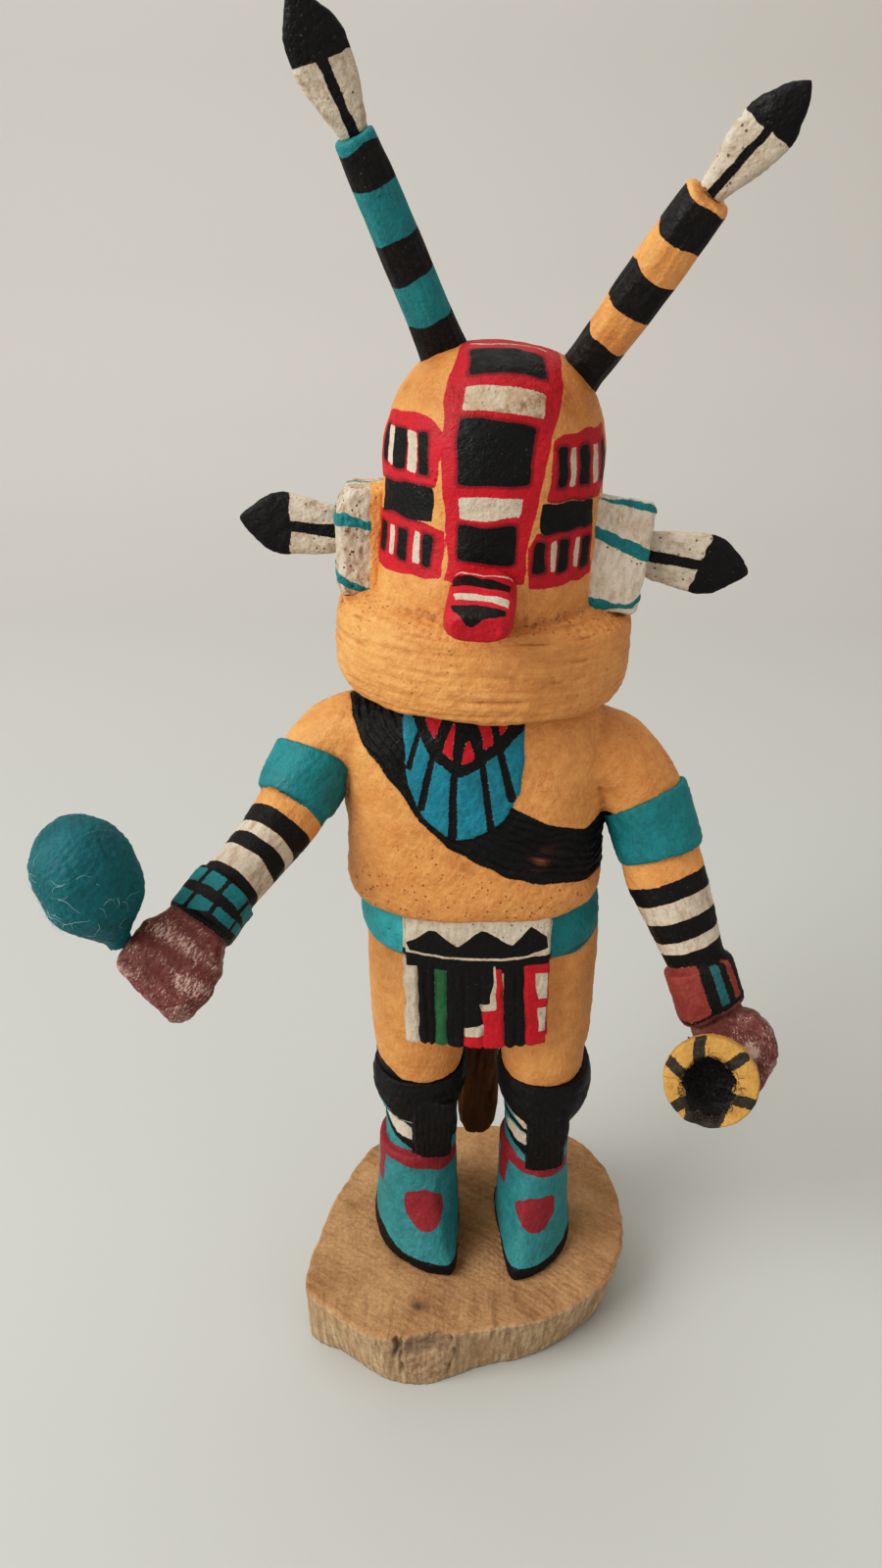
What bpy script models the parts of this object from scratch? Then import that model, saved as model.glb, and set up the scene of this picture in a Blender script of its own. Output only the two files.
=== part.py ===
"""A carved and painted kachina doll standing on a slice of log.

The figure is whittled from one billet of soft root wood: mask, collar, trunk, arms, legs,
boots, belt and apron are one body. Horns, ears, feathers, bill, rattle, blossom and fox tail
are small pieces of their own, pegged and glued on.

The doll faces -Y and stands on +Z. Its own left side is at +X. All sizes are millimetres.
"""

import math

import bmesh
import bpy
from mathutils import Matrix, Vector

MM = 0.001
GAP = 0.3                       # clearance wherever one piece meets the next

BASE_THICKNESS = 17.0
FOOT_LEVEL = BASE_THICKNESS + GAP

# Heights of the figure's main levels.
BOOT_TOP = 45.0
GARTER_BOTTOM = 51.5
GARTER_TOP = 69.0
APRON_BOTTOM = 86.0
BELT_BOTTOM = 106.0
TRUNK_BOTTOM = 117.0
SHOULDER_LEVEL = 152.0
COLLAR_BOTTOM = 163.5
COLLAR_TOP = 180.5
DOME_FOOT = 184.0
DOME_TOP = 226.5

# The mask and its collar lean a little to the figure's left, about a pivot in the neck.
HEAD_LEAN = math.radians(2.6)
HEAD_PIVOT = Vector((0.1, -1.0, 165.0))
DOME_RADIUS = 20.3
COLLAR_HALF_WIDTH = 28.6
COLLAR_HALF_DEPTH = 25.4

TRUNK_HALF_WIDTH = 27.3
TRUNK_HALF_DEPTH = 19.4
LEG_AXIS = {-1: -12.6, 1: 16.2}     # X of the right leg's axis and of the left leg's
THIGH_HALF_WIDTH = {-1: 11.3, 1: 10.8}

FEATHER_THICKNESS = 3.0
GOURD_RADIUS = 9.8
BLOSSOM_RADIUS = 9.7

ROUND_SIDES = 28
LIMB_SIDES = 16

X_AXIS = Vector((1.0, 0.0, 0.0))
Y_AXIS = Vector((0.0, 1.0, 0.0))
Z_AXIS = Vector((0.0, 0.0, 1.0))

# Colours as linear red, green, blue.
OCHRE = (0.62, 0.27, 0.07)
TEAL = (0.01, 0.16, 0.18)
BLACK = (0.01, 0.01, 0.01)
RED = (0.40, 0.02, 0.03)
CREAM = (0.60, 0.52, 0.42)
YELLOW = (0.50, 0.27, 0.05)
FUR_BROWN = (0.06, 0.02, 0.008)
BARE_WOOD = (0.36, 0.20, 0.09)


# ---------------------------------------------------------------- shaping tools

def section(centre, half_width, half_depth, power=2.0, sides=ROUND_SIDES,
            across=X_AXIS, along=Y_AXIS):
    """One ring of points: a superellipse round centre. Power 2 is an ellipse, more is squarer."""
    centre = Vector(centre)
    points = []
    for i in range(sides):
        angle = math.tau * i / sides
        c, s = math.cos(angle), math.sin(angle)
        u = math.copysign(abs(c) ** (2.0 / power), c) * half_width
        v = math.copysign(abs(s) ** (2.0 / power), s) * half_depth
        points.append(centre + across * u + along * v)
    return points


def loft(name, rings, material):
    """A closed solid skinned over rings that all have the same number of points."""
    mesh = bpy.data.meshes.new(name)
    bm = bmesh.new()
    loops = [[bm.verts.new(p * MM) for p in ring] for ring in rings]
    count = len(rings[0])
    for lower, upper in zip(loops, loops[1:]):
        for i in range(count):
            j = (i + 1) % count
            bm.faces.new((lower[i], lower[j], upper[j], upper[i]))
    bm.faces.new(list(reversed(loops[0])))
    bm.faces.new(loops[-1])
    bmesh.ops.triangulate(bm, faces=[f for f in bm.faces if len(f.verts) > 4])
    bmesh.ops.recalc_face_normals(bm, faces=bm.faces)
    bm.to_mesh(mesh)
    bm.free()
    mesh.shade_smooth()
    mesh.set_sharp_from_angle(angle=math.radians(40))
    solid = bpy.data.objects.new(name, mesh)
    bpy.context.scene.collection.objects.link(solid)
    mesh.materials.append(material)
    return solid


def finish(name, colour, roughness=0.7):
    """A plain painted or bare-wood surface."""
    material = bpy.data.materials.new(name)
    material.use_nodes = True
    shader = material.node_tree.nodes["Principled BSDF"]
    shader.inputs["Base Color"].default_value = (*colour, 1.0)
    shader.inputs["Roughness"].default_value = roughness
    shader.inputs["Metallic"].default_value = 0.0
    return material


def as_guide(solid):
    """A shape that only joins or cuts another one isn't a piece of the doll."""
    solid.hide_render = True
    solid.display_type = "WIRE"
    return solid


def combine(target, tool, operation):
    """Joins the tool's shape to the target, or cuts it away, with a live Boolean modifier."""
    modifier = target.modifiers.new(f"{operation.lower()} {tool.name}", "BOOLEAN")
    modifier.operation = operation
    modifier.solver = "EXACT"
    modifier.object = as_guide(tool)
    return target


def join_all(target, tools):
    """Joins many shapes to the target in one live Boolean union."""
    group = bpy.data.collections.new(f"shapes joined to {target.name}")
    bpy.context.scene.collection.children.link(group)
    for tool in tools:
        bpy.context.scene.collection.objects.unlink(as_guide(tool))
        group.objects.link(tool)
    modifier = target.modifiers.new("union", "BOOLEAN")
    modifier.operation = "UNION"
    modifier.solver = "EXACT"
    modifier.operand_type = "COLLECTION"
    modifier.collection = group
    return target


def leaning(rings):
    """Tilts rings of the mask or collar about the pivot in the neck."""
    turn = Matrix.Rotation(HEAD_LEAN, 3, "Y")
    return [[HEAD_PIVOT + turn @ (p - HEAD_PIVOT) for p in ring] for ring in rings]


def along_path(stations, power=2.0, sides=LIMB_SIDES, width_axis=None):
    """Rings square to a limb's path. A station is its centre, half width and half thickness."""
    centres = [Vector(s[0]) for s in stations]
    rings = []
    for i, (_, half_width, half_thickness) in enumerate(stations):
        ahead = centres[min(i + 1, len(centres) - 1)] - centres[max(i - 1, 0)]
        ahead.normalize()
        across = (width_axis or X_AXIS) - ahead * ahead.dot(width_axis or X_AXIS)
        across.normalize()
        along = ahead.cross(across)
        rings.append(section(centres[i], half_width, half_thickness, power, sides, across, along))
    return rings


def swollen(rings, extra=GAP):
    """A limb's rings grown sideways and past both ends, for cutting a seat with clearance."""
    centres = [sum(ring, Vector()) / len(ring) for ring in rings]
    grown = [[p + (p - centre).normalized() * extra for p in ring]
             for ring, centre in zip(rings, centres)]
    for end, inner in ((0, 1), (-1, -2)):
        outward = (centres[end] - centres[inner]).normalized() * extra
        grown[end] = [p + outward for p in grown[end]]
    return grown


# ---------------------------------------------------------------- log slice

def log_slice(material):
    """A slice sawn across a thin log, its front edge undercut except at an old knot."""
    outline = [(-39.2, -25), (-38.8, -14), (-34.8, 6), (-27, 22), (-12, 29), (8, 31), (27, 28),
               (37.5, 15), (39, -6), (34.5, -22), (24.5, -28.2), (10.8, -33.4), (-0.5, -37),
               (-9.5, -36.4), (-17, -37.2), (-26, -35), (-33.5, -31)]
    knot = Vector((-14.0, -37.0, 0.0))
    undercut = 3.4
    rings = []
    for height, depth in ((0.0, 1.0), (1.2, 0.85), (BASE_THICKNESS - 0.8, 0.0),
                          (BASE_THICKNESS, 0.25)):
        ring = []
        for x, y in closed_curve(outline, per_span=2):
            edge = Vector((x, y, height))
            away = min(1.0, (edge.xy - knot.xy).length / 14.0)
            inward = undercut * depth * away * (1.0 if y < 0 else 0.3)
            ring.append(edge - Vector((x, y, 0.0)).normalized() * inward)
        rings.append(ring)
    return loft("log_slice_base", rings, material)


def closed_curve(points, per_span):
    """A smooth closed curve through the points, as a Catmull-Rom spline."""
    count = len(points)
    curve = []
    for i in range(count):
        p0, p1, p2, p3 = (Vector(points[(i + k) % count]) for k in (-1, 0, 1, 2))
        for step in range(per_span):
            t = step / per_span
            curve.append(0.5 * (2 * p1 + (p2 - p0) * t + (2 * p0 - 5 * p1 + 4 * p2 - p3) * t * t
                                + (3 * p1 - 3 * p2 + p3 - p0) * t ** 3))
    return curve


# ---------------------------------------------------------------- mask and collar

def dome_rings(extra=0.0, start=DOME_FOOT - 8.0):
    """The case mask: a cylinder that closes in a round dome. Extra swells it evenly."""
    profile = [(start, 1.05), (DOME_FOOT, 1.04), (190, 1.02), (200, 1.0), (207, 0.995),
               (211, 0.975), (214.5, 0.94), (217.5, 0.88), (220, 0.805), (222.3, 0.71),
               (224.1, 0.59), (225.5, 0.43), (226.2, 0.26)]
    rings = [section((HEAD_PIVOT.x, HEAD_PIVOT.y, z), DOME_RADIUS * k + extra,
                     DOME_RADIUS * k + extra) for z, k in profile]
    rings.append(section((HEAD_PIVOT.x, HEAD_PIVOT.y, DOME_TOP + extra), 1.5 + extra, 1.5 + extra))
    return leaning(rings)


def collar_rings(extra=0.0):
    """The round ruff under the mask, with a bevelled lower edge and a sloping ledge on top."""
    profile = [(COLLAR_BOTTOM, 0.88), (165.0, 0.95), (168.5, 0.99), (173.0, 1.0), (177.0, 0.985),
               (179.4, 0.955), (COLLAR_TOP, 0.90), (182.5, 0.80), (DOME_FOOT + 0.6, 0.70)]
    return leaning([section((HEAD_PIVOT.x, HEAD_PIVOT.y, z + extra), COLLAR_HALF_WIDTH * k + extra,
                            COLLAR_HALF_DEPTH * k + extra, 2.1) for z, k in profile])


# ---------------------------------------------------------------- trunk, hips and apron

def trunk_rings():
    """The bare trunk: a barrel that overhangs the belt and closes in sloping shoulders."""
    stations = [(TRUNK_BOTTOM - 0.6, 0.86, 0.80), (TRUNK_BOTTOM, 0.93, 0.90), (119, 0.985, 0.985),
                (122, 1.0, 1.0), (127, 0.985, 0.97), (132, 0.985, 0.93), (139, 1.01, 0.90),
                (146, 1.03, 0.88), (SHOULDER_LEVEL, 1.02, 0.86), (157, 0.95, 0.82),
                (160.5, 0.84, 0.76), (163, 0.70, 0.68), (168, 0.60, 0.60)]
    return [section((-0.5, -0.4, z), TRUNK_HALF_WIDTH * w, TRUNK_HALF_DEPTH * d, 2.35)
            for z, w, d in stations]


def hip_rings(bottom, swell, half_width=24.1, half_depth=14.6):
    """The pelvis, and with more swell the belt that is carved proud of it."""
    return [section((0.8, -0.4, z), half_width + grow, half_depth + grow, 2.6)
            for z, grow in ((bottom, swell - 0.6), (bottom + 1.0, swell),
                            (TRUNK_BOTTOM + 2.0, swell))]


def apron_rings():
    """The painted apron panel: gently bowed in front and let into the hips behind."""
    half_width, bow, edge_front, back = 15.0, 2.3, -17.0, -9.0
    bowed = [(half_width * u, edge_front - bow * (1.0 - u * u))
             for u in (-1.0, -0.72, -0.36, 0.0, 0.36, 0.72, 1.0)]
    outline = bowed + [(half_width, back), (-half_width, back)]
    levels = ((APRON_BOTTOM, 0.0), (APRON_BOTTOM + 16.0, -0.4), (TRUNK_BOTTOM + 1.5, 0.6))
    return [[Vector((0.5 + x, y + lean * (y < back), z)) for x, y in outline]
            for z, lean in levels]


# ---------------------------------------------------------------- legs and boots

def thigh_rings(side):
    """A thick rounded thigh. Side is -1 for the figure's right leg and 1 for its left."""
    stations = [(62.0, 0.82, 10.4), (68.0, 0.88, 11.0), (75.0, 0.94, 11.9), (84.0, 1.0, 12.4),
                (96.0, 1.01, 12.6), (110.0, 1.0, 12.6)]
    return [section((LEG_AXIS[side], 0.0, z), THIGH_HALF_WIDTH[side] * w, d, 2.2, LIMB_SIDES)
            for z, w, d in stations]


def garter_rings(side):
    """The black knee band, flared at its top edge and drawn in to the calf below."""
    stations = [(GARTER_BOTTOM, 8.6, 9.5), (53.5, 9.4, 10.2), (57.0, 10.8, 11.5),
                (62.0, 11.3, 12.2), (67.0, 11.1, 12.1), (GARTER_TOP, 10.6, 11.6)]
    return [section((LEG_AXIS[side] + 0.6 * (side > 0), -0.2, z), w, d, 2.2, LIMB_SIDES + 4)
            for z, w, d in stations]


def garter_tassel_rings(side):
    """The garter's fringed end, a rounded tongue that hangs down in front of the shin."""
    x = LEG_AXIS[side] + (2.6 if side < 0 else 1.8)
    stations = [(46.0, 3.6, 1.4, -9.6), (47.5, 5.0, 2.0, -9.8), (53.0, 5.4, 2.3, -10.4),
                (60.0, 5.4, 2.2, -11.0), (64.0, 4.4, 1.6, -11.0)]
    return [section((x, y, z), w, d, 3.0, LIMB_SIDES) for z, w, d, y in stations]


def shin_rings(side):
    """The short round shin between garter and boot."""
    return [section((LEG_AXIS[side] + 0.1, 0.1, z), 8.1, 8.9, 2.0, LIMB_SIDES)
            for z in (38.3, 44.4, 55.2)]


def boot_rings(side):
    """A moccasin boot: straight on its inner side, bowed outside, its toe drawn to the inside."""
    sole = [(-10.2, 0.0), (-10.4, -8.0), (-9.6, -20.0), (-6.0, -19.8), (1.0, -17.6), (7.0, -12.6),
            (10.4, -5.0), (11.2, 3.0), (9.0, 9.6), (3.0, 12.6), (-4.0, 12.2), (-8.8, 7.6)]
    outline = closed_curve(sole, per_span=2)
    centre, width, turn = {-1: (-13.4, 1.0, math.radians(1.5)),
                           1: (15.2, 0.87, math.radians(9.0))}[side]
    rings = []
    levels = ((FOOT_LEVEL, 0.0, 1.0), (FOOT_LEVEL + 2.4, 0.0, 1.01), (22.5, 0.12, 1.0),
              (26.0, 0.34, 1.0), (31.0, 0.62, 1.0), (37.0, 0.84, 1.0), (BOOT_TOP - 1.0, 1.0, 1.0),
              (BOOT_TOP, 1.0, 0.95))
    for z, rise, swell in levels:
        ring = []
        for p in outline:
            angle = math.atan2(p.y + 1.0, p.x)
            shaft = Vector((9.8 * math.cos(angle), 10.2 * math.sin(angle) - 0.3))
            q = p.lerp(shaft, rise) * swell
            q.x *= width
            x = q.x * math.cos(turn) - q.y * math.sin(turn)
            y = q.x * math.sin(turn) + q.y * math.cos(turn)
            ring.append(Vector((centre + side * x, y, z)))
        rings.append(ring if side > 0 else ring[::-1])
    return rings


# ---------------------------------------------------------------- arms and hands

def right_arm_rings():
    """The figure's right arm, raised forward and outward to hold the rattle."""
    return along_path([((-19, 0.5, 151.2), 9.4, 12.0), ((-26, 0, 150.6), 9.2, 11.0),
                       ((-31, -1.6, 148.4), 8.5, 9.6), ((-35, -6, 143.5), 7.8, 8.2),
                       ((-37.6, -9.6, 138.8), 7.3, 7.4), ((-40.5, -14, 135.5), 6.8, 6.8),
                       ((-44.5, -21, 132.2), 6.3, 6.3), ((-50, -30.5, 128), 5.6, 5.6)])


def right_armband_rings():
    """The turquoise band carved proud of the upper right arm."""
    return along_path([((-31.6, -1.6, 149.4), 8.6, 9.2), ((-32.4, -2.6, 148.2), 9.2, 9.8),
                       ((-36.6, -8.2, 140.6), 8.5, 8.8), ((-37.3, -9.1, 139.4), 7.8, 8.0)])


def right_cuff_rings():
    """The wrist guard of the right arm."""
    return along_path([((-45.8, -23.6, 131.0), 6.2, 6.2), ((-46.4, -24.6, 130.5), 6.8, 6.8),
                       ((-50.0, -31.0, 127.6), 6.8, 6.8), ((-50.6, -32.0, 127.2), 6.1, 6.1)],
                      power=2.4)


def right_hand_rings():
    """A whittled fist, broad across the knuckles, with a flat cut end."""
    across = Vector((0.757, -0.26, -0.60)).normalized()
    ahead = Vector((-0.48, -0.70, -0.53))
    through = ahead.cross(across).normalized()
    stations = [((-49.2, -30.0, 128.4), 4.4, 4.4), ((-51.0, -32.8, 126.6), 6.0, 5.4),
                ((-53.8, -36.4, 123.8), 8.9, 6.4), ((-57.4, -41.0, 119.6), 8.9, 6.6),
                ((-60.2, -43.6, 117.6), 7.8, 5.6)]
    return [section(c, w, t, 4.0, LIMB_SIDES, across, through) for c, w, t in stations]


def left_arm_rings():
    """The figure's left arm, hanging outward with the forearm a little forward."""
    return along_path([((19, 0.5, 149.2), 10.0, 12.0), ((26.2, 0, 147.2), 9.8, 11.2),
                       ((31.4, -1.4, 142.8), 9.3, 10.0), ((34.6, -3, 138), 8.6, 9.0),
                       ((37.6, -5.6, 130), 8.0, 8.2), ((39.6, -7.8, 124), 8.0, 8.0),
                       ((43, -10.8, 115), 7.2, 7.2), ((47, -13.8, 105.5), 6.1, 6.1),
                       ((50.6, -16.4, 96), 5.8, 5.8)])


def left_armband_rings():
    """The turquoise band carved proud of the upper left arm."""
    return along_path([((34.0, -2.6, 140.8), 9.0, 9.6), ((34.5, -3.0, 139.4), 9.6, 10.1),
                       ((37.3, -5.4, 130.8), 9.2, 9.5), ((37.8, -5.8, 129.4), 8.6, 8.9)])


def left_cuff_rings():
    """The wrist guard of the left arm, a squarer block than the right one."""
    return along_path([((46.8, -13.6, 105.8), 6.6, 6.6), ((47.1, -13.9, 105.0), 7.3, 7.3),
                       ((50.2, -16.1, 96.6), 7.3, 7.3), ((50.5, -16.4, 95.8), 6.6, 6.6)],
                      power=2.8)


def left_hand_rings():
    """The left fist, turned outward and tapering to its lower end."""
    return along_path([((50.0, -15.8, 98.0), 5.0, 4.8), ((51.4, -16.8, 95.4), 6.4, 5.8),
                       ((54.4, -18.6, 92.0), 8.9, 6.4), ((55.6, -20.0, 86.4), 8.4, 6.6),
                       ((56.6, -21.0, 80.2), 6.2, 6.2), ((57.0, -21.4, 77.6), 4.6, 5.0)],
                      power=4.0)


def carved_figure(paint):
    """The doll's body, whittled in one piece: every part is joined to the trunk."""
    body = loft("carved_figure", trunk_rings(), paint)
    parts = [("collar", collar_rings()), ("dome", dome_rings()),
             ("hips", hip_rings(84.0, 0.0)), ("belt", hip_rings(BELT_BOTTOM, 0.9)),
             ("apron", apron_rings()),
             ("right arm", right_arm_rings()), ("right armband", right_armband_rings()),
             ("right cuff", right_cuff_rings()), ("right hand", right_hand_rings()),
             ("left arm", left_arm_rings()), ("left armband", left_armband_rings()),
             ("left cuff", left_cuff_rings()), ("left hand", left_hand_rings())]
    for side, word in ((-1, "right"), (1, "left")):
        parts += [(f"{word} thigh", thigh_rings(side)), (f"{word} garter", garter_rings(side)),
                  (f"{word} tassel", garter_tassel_rings(side)),
                  (f"{word} shin", shin_rings(side)), (f"{word} boot", boot_rings(side))]
    return join_all(body, [loft(f"guide {name}", rings, paint) for name, rings in parts])


# ---------------------------------------------------------------- pieces on the mask

def horn(name, foot, end, radii, dome_cutter, material):
    """A whittled dowel horn, standing on the dome. Radii are at its foot, middle and end."""
    foot, end = Vector(foot), Vector(end)
    sunk = foot - (end - foot).normalized() * 4.0
    stations = [(centre, radius, radius)
                for centre, radius in zip((sunk, foot.lerp(end, 0.5), end), radii)]
    return combine(loft(name, along_path(stations), material), dome_cutter, "DIFFERENCE")


def feather(name, root, tip, half_width, face, material, root_width=0.45):
    """A carved feather: a flat leaf, fullest past its middle and pointed at the tip."""
    root, tip = Vector(root), Vector(tip)
    ahead = (tip - root).normalized()
    across = Vector(face).cross(ahead).normalized()
    out = ahead.cross(across)
    stations = [(0.0, root_width, 0.75), (0.18, (root_width + 1.0) / 2, 0.95),
                (0.38, 0.93, 1.0), (0.56, 1.0, 1.0), (0.66, 0.95, 0.95), (0.80, 0.66, 0.8),
                (0.92, 0.28, 0.55), (1.0, 0.06, 0.35)]
    rings = [section(root.lerp(tip, t), half_width * w, FEATHER_THICKNESS / 2 * d, 2.2, 14,
                     across, out) for t, w, d in stations]
    return loft(name, rings, material)


def ear(name, centre, size, turn, lean, cutters, material):
    """A thick square ear with softened corners, cut to sit against the dome and collar."""
    half = Vector(size) / 2
    pose = Matrix.Rotation(lean, 3, "Y") @ Matrix.Rotation(turn, 3, "Z")
    rings = []
    for z, k in ((-1.0, 0.82), (-0.88, 0.97), (0.0, 1.0), (0.88, 0.97), (1.0, 0.82)):
        ring = section((0, 0, z * half.z), half.x * k, half.y * k, 5.0, 24)
        rings.append([Vector(centre) + pose @ p for p in ring])
    piece = loft(name, rings, material)
    for cutter in cutters:
        combine(piece, cutter, "DIFFERENCE")
    return piece


def bill(dome_cutter, material):
    """A blunt rounded bill that juts forward and down from the foot of the face column."""
    stations = [((0.6, -17.0, 187.6), 5.6, 3.6), ((0.4, -24.0, 187.8), 5.7, 3.6),
                ((0.0, -30.0, 187.2), 5.8, 3.6), ((-0.4, -35.0, 186.4), 5.8, 3.4),
                ((-0.7, -38.0, 185.8), 4.6, 2.4)]
    piece = loft("bill", along_path(stations, power=2.8), material)
    return combine(piece, dome_cutter, "DIFFERENCE")


# ---------------------------------------------------------------- things held and worn

def gourd_rattle(hand_cutter, material):
    """An egg-shaped gourd rattle on a short neck that stands in the right fist."""
    top, neck = Vector((-70.4, -42.6, 152.6)), Vector((-63.4, -41.4, 124.6))
    profile = [(0.0, 0.12), (0.03, 0.38), (0.10, 0.66), (0.22, 0.90), (0.36, 1.0), (0.50, 0.97),
               (0.62, 0.82), (0.73, 0.58), (0.82, 0.34), (0.88, 0.22), (1.0, 0.20)]
    stations = [(top.lerp(neck, t), GOURD_RADIUS * r, GOURD_RADIUS * r) for t, r in profile]
    piece = loft("gourd_rattle", along_path(stations, sides=20), material)
    return combine(piece, hand_cutter, "DIFFERENCE")


def blossom(hand_cutter, material):
    """A turned wooden blossom: a thick disc with a hollowed heart, on a short stalk."""
    face = Vector((-0.17, -0.80, 0.57)).normalized()
    centre = Vector((48.4, -34.0, 91.0))
    across = Z_AXIS.cross(face).normalized()
    along = face.cross(across)
    profile = [(-9.0, 3.0), (-5.0, 3.4), (-4.0, 8.2), (-2.4, 9.5), (-0.6, BLOSSOM_RADIUS),
               (0.0, 9.2), (0.0, 5.4), (-0.8, 4.6), (-2.2, 3.0), (-2.8, 1.0)]
    rings = [section(centre + face * h, r, r, 2.0, 24, across, along) for h, r in profile]
    piece = loft("yellow_blossom", rings, material)
    return combine(piece, hand_cutter, "DIFFERENCE")


def fox_tail(material):
    """A fox pelt carved as a long rounded strip that hangs behind between the legs."""
    stations = [((1.2, 16.4, 103.0), 4.0, 1.6), ((1.2, 17.0, 99.0), 4.6, 2.3),
                ((1.2, 17.0, 80.0), 4.8, 2.5), ((1.2, 16.0, 60.0), 5.0, 2.7),
                ((1.2, 14.8, 42.0), 4.9, 2.7), ((1.2, 14.4, 35.0), 4.2, 2.4),
                ((1.2, 14.2, 31.5), 2.6, 1.6)]
    return loft("fox_tail", along_path(stations, power=2.3, sides=16), material)


# ---------------------------------------------------------------- assembly

def main():
    for old in list(bpy.data.objects):
        bpy.data.objects.remove(old, do_unlink=True)

    ochre = finish("ochre_paint", OCHRE)
    teal = finish("turquoise_paint", TEAL)
    black = finish("black_paint", BLACK)
    red = finish("red_paint", RED)
    cream = finish("white_paint", CREAM)
    yellow = finish("yellow_paint", YELLOW)
    fur = finish("fur_brown_paint", FUR_BROWN)
    wood = finish("bare_wood", BARE_WOOD, 0.85)

    log_slice(wood)
    carved_figure(ochre)

    dome_cutter = loft("guide dome clearance", dome_rings(GAP, DOME_FOOT - 1.0), ochre)
    collar_cutter = loft("guide collar clearance", collar_rings(GAP), ochre)
    horn("right_horn", (-7.0, -1.0, 224.0), (-20.8, -12.0, 256.4), (4.1, 3.8, 3.3),
         dome_cutter, black)
    horn("left_horn", (16.2, -1.0, 220.3), (34.0, -14.6, 247.8), (3.9, 4.2, 3.6),
         dome_cutter, black)
    cutters = (dome_cutter, collar_cutter)
    ear("right_ear", (-22.5, 0.6, 191.2), (9.6, 13.0, 19.2), math.radians(6), math.radians(1),
        cutters, cream)
    ear("left_ear", (23.9, -2.8, 190.0), (6.5, 13.4, 20.4), math.radians(-62),
        HEAD_LEAN + math.radians(5), cutters, cream)
    bill(dome_cutter, red)

    facing = (0.0, -1.0, 0.0)
    feather("right_horn_feather", (-20.7, -12.4, 257.0), (-28.6, -18.2, 274.2), 4.7,
            facing, cream, 0.48)
    feather("left_horn_feather", (34.4, -15.2, 248.8), (45.2, -22.8, 261.9), 4.3,
            facing, cream, 0.48)
    feather("right_ear_feather", (-28.0, 0.0, 193.0), (-45.7, 0.0, 195.2), 5.9,
            facing, cream, 0.7)
    feather("left_ear_feather", (30.6, 0.6, 188.6), (50.0, 0.6, 186.2), 5.8,
            facing, cream, 0.7)

    gourd_rattle(loft("guide right hand clearance", swollen(right_hand_rings()), ochre), teal)
    blossom(loft("guide left hand clearance", swollen(left_hand_rings()), ochre), yellow)
    fox_tail(fur)


main()
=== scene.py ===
import math

import bpy
import numpy as np
from mathutils import Matrix, Vector


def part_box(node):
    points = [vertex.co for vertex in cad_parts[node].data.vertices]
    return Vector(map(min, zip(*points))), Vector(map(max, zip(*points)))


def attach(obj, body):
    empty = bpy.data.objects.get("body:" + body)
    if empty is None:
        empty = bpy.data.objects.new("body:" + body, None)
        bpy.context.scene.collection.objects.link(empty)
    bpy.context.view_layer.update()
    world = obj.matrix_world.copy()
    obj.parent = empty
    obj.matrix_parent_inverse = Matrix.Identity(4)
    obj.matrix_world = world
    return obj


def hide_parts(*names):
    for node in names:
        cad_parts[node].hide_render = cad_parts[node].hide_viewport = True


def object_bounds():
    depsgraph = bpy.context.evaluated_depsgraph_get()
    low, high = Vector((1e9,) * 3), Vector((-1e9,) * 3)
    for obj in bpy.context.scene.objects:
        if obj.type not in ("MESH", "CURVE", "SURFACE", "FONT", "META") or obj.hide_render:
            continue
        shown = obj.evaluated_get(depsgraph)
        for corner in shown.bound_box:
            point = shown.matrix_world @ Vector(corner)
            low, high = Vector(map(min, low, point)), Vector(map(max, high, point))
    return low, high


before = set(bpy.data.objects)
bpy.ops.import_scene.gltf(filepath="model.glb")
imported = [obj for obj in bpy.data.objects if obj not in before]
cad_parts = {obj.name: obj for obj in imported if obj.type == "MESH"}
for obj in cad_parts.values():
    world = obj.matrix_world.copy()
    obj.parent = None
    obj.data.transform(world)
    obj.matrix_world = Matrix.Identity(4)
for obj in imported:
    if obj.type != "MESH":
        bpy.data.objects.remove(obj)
cad_low, cad_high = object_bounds()


# ---------------------------------------------------------------- floor, light and view
# The doll stands alone on a plain pale paper sweep, a little warmer where it rises behind. A wide
# window-like lamp stands at its right hand and a little in front, and the pale surroundings fill
# the shadow side.

def node(tree, kind, links=(), **settings):
    """Adds a node to a tree. Links gives each input a number, a colour or another node's output."""
    made = tree.nodes.new(kind)
    for key, value in settings.items():
        setattr(made, key, value)
    for key, value in dict(links).items():
        if isinstance(value, bpy.types.NodeSocket):
            tree.links.new(value, made.inputs[key])
        else:
            made.inputs[key].default_value = value
    return made


def ranged(tree, value, low, high, to_low=0.0, to_high=1.0, smooth=True):
    """Maps low..high to to_low..to_high and stops there."""
    return node(tree, "ShaderNodeMapRange", {"Value": value, "From Min": low, "From Max": high,
                                             "To Min": to_low, "To Max": to_high},
                interpolation_type="SMOOTHSTEP" if smooth else "LINEAR").outputs["Result"]


def tinted(tree, amount, under, over):
    """Lays the colour over on the colour under, by amount. Colours are linear red, green, blue."""
    under, over = (colour if isinstance(colour, bpy.types.NodeSocket) else (*colour, 1.0)
                   for colour in (under, over))
    return node(tree, "ShaderNodeMix", {0: amount, 6: under, 7: over}, data_type="RGBA").outputs[2]


def new_finish(name):
    """An empty material and its shader node."""
    finish = bpy.data.materials.new(name)
    finish.use_nodes = True
    shader = finish.node_tree.nodes["Principled BSDF"]
    shader.inputs["Metallic"].default_value = 0.0
    shader.inputs["Specular IOR Level"].default_value = 0.35
    return finish, shader


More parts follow.
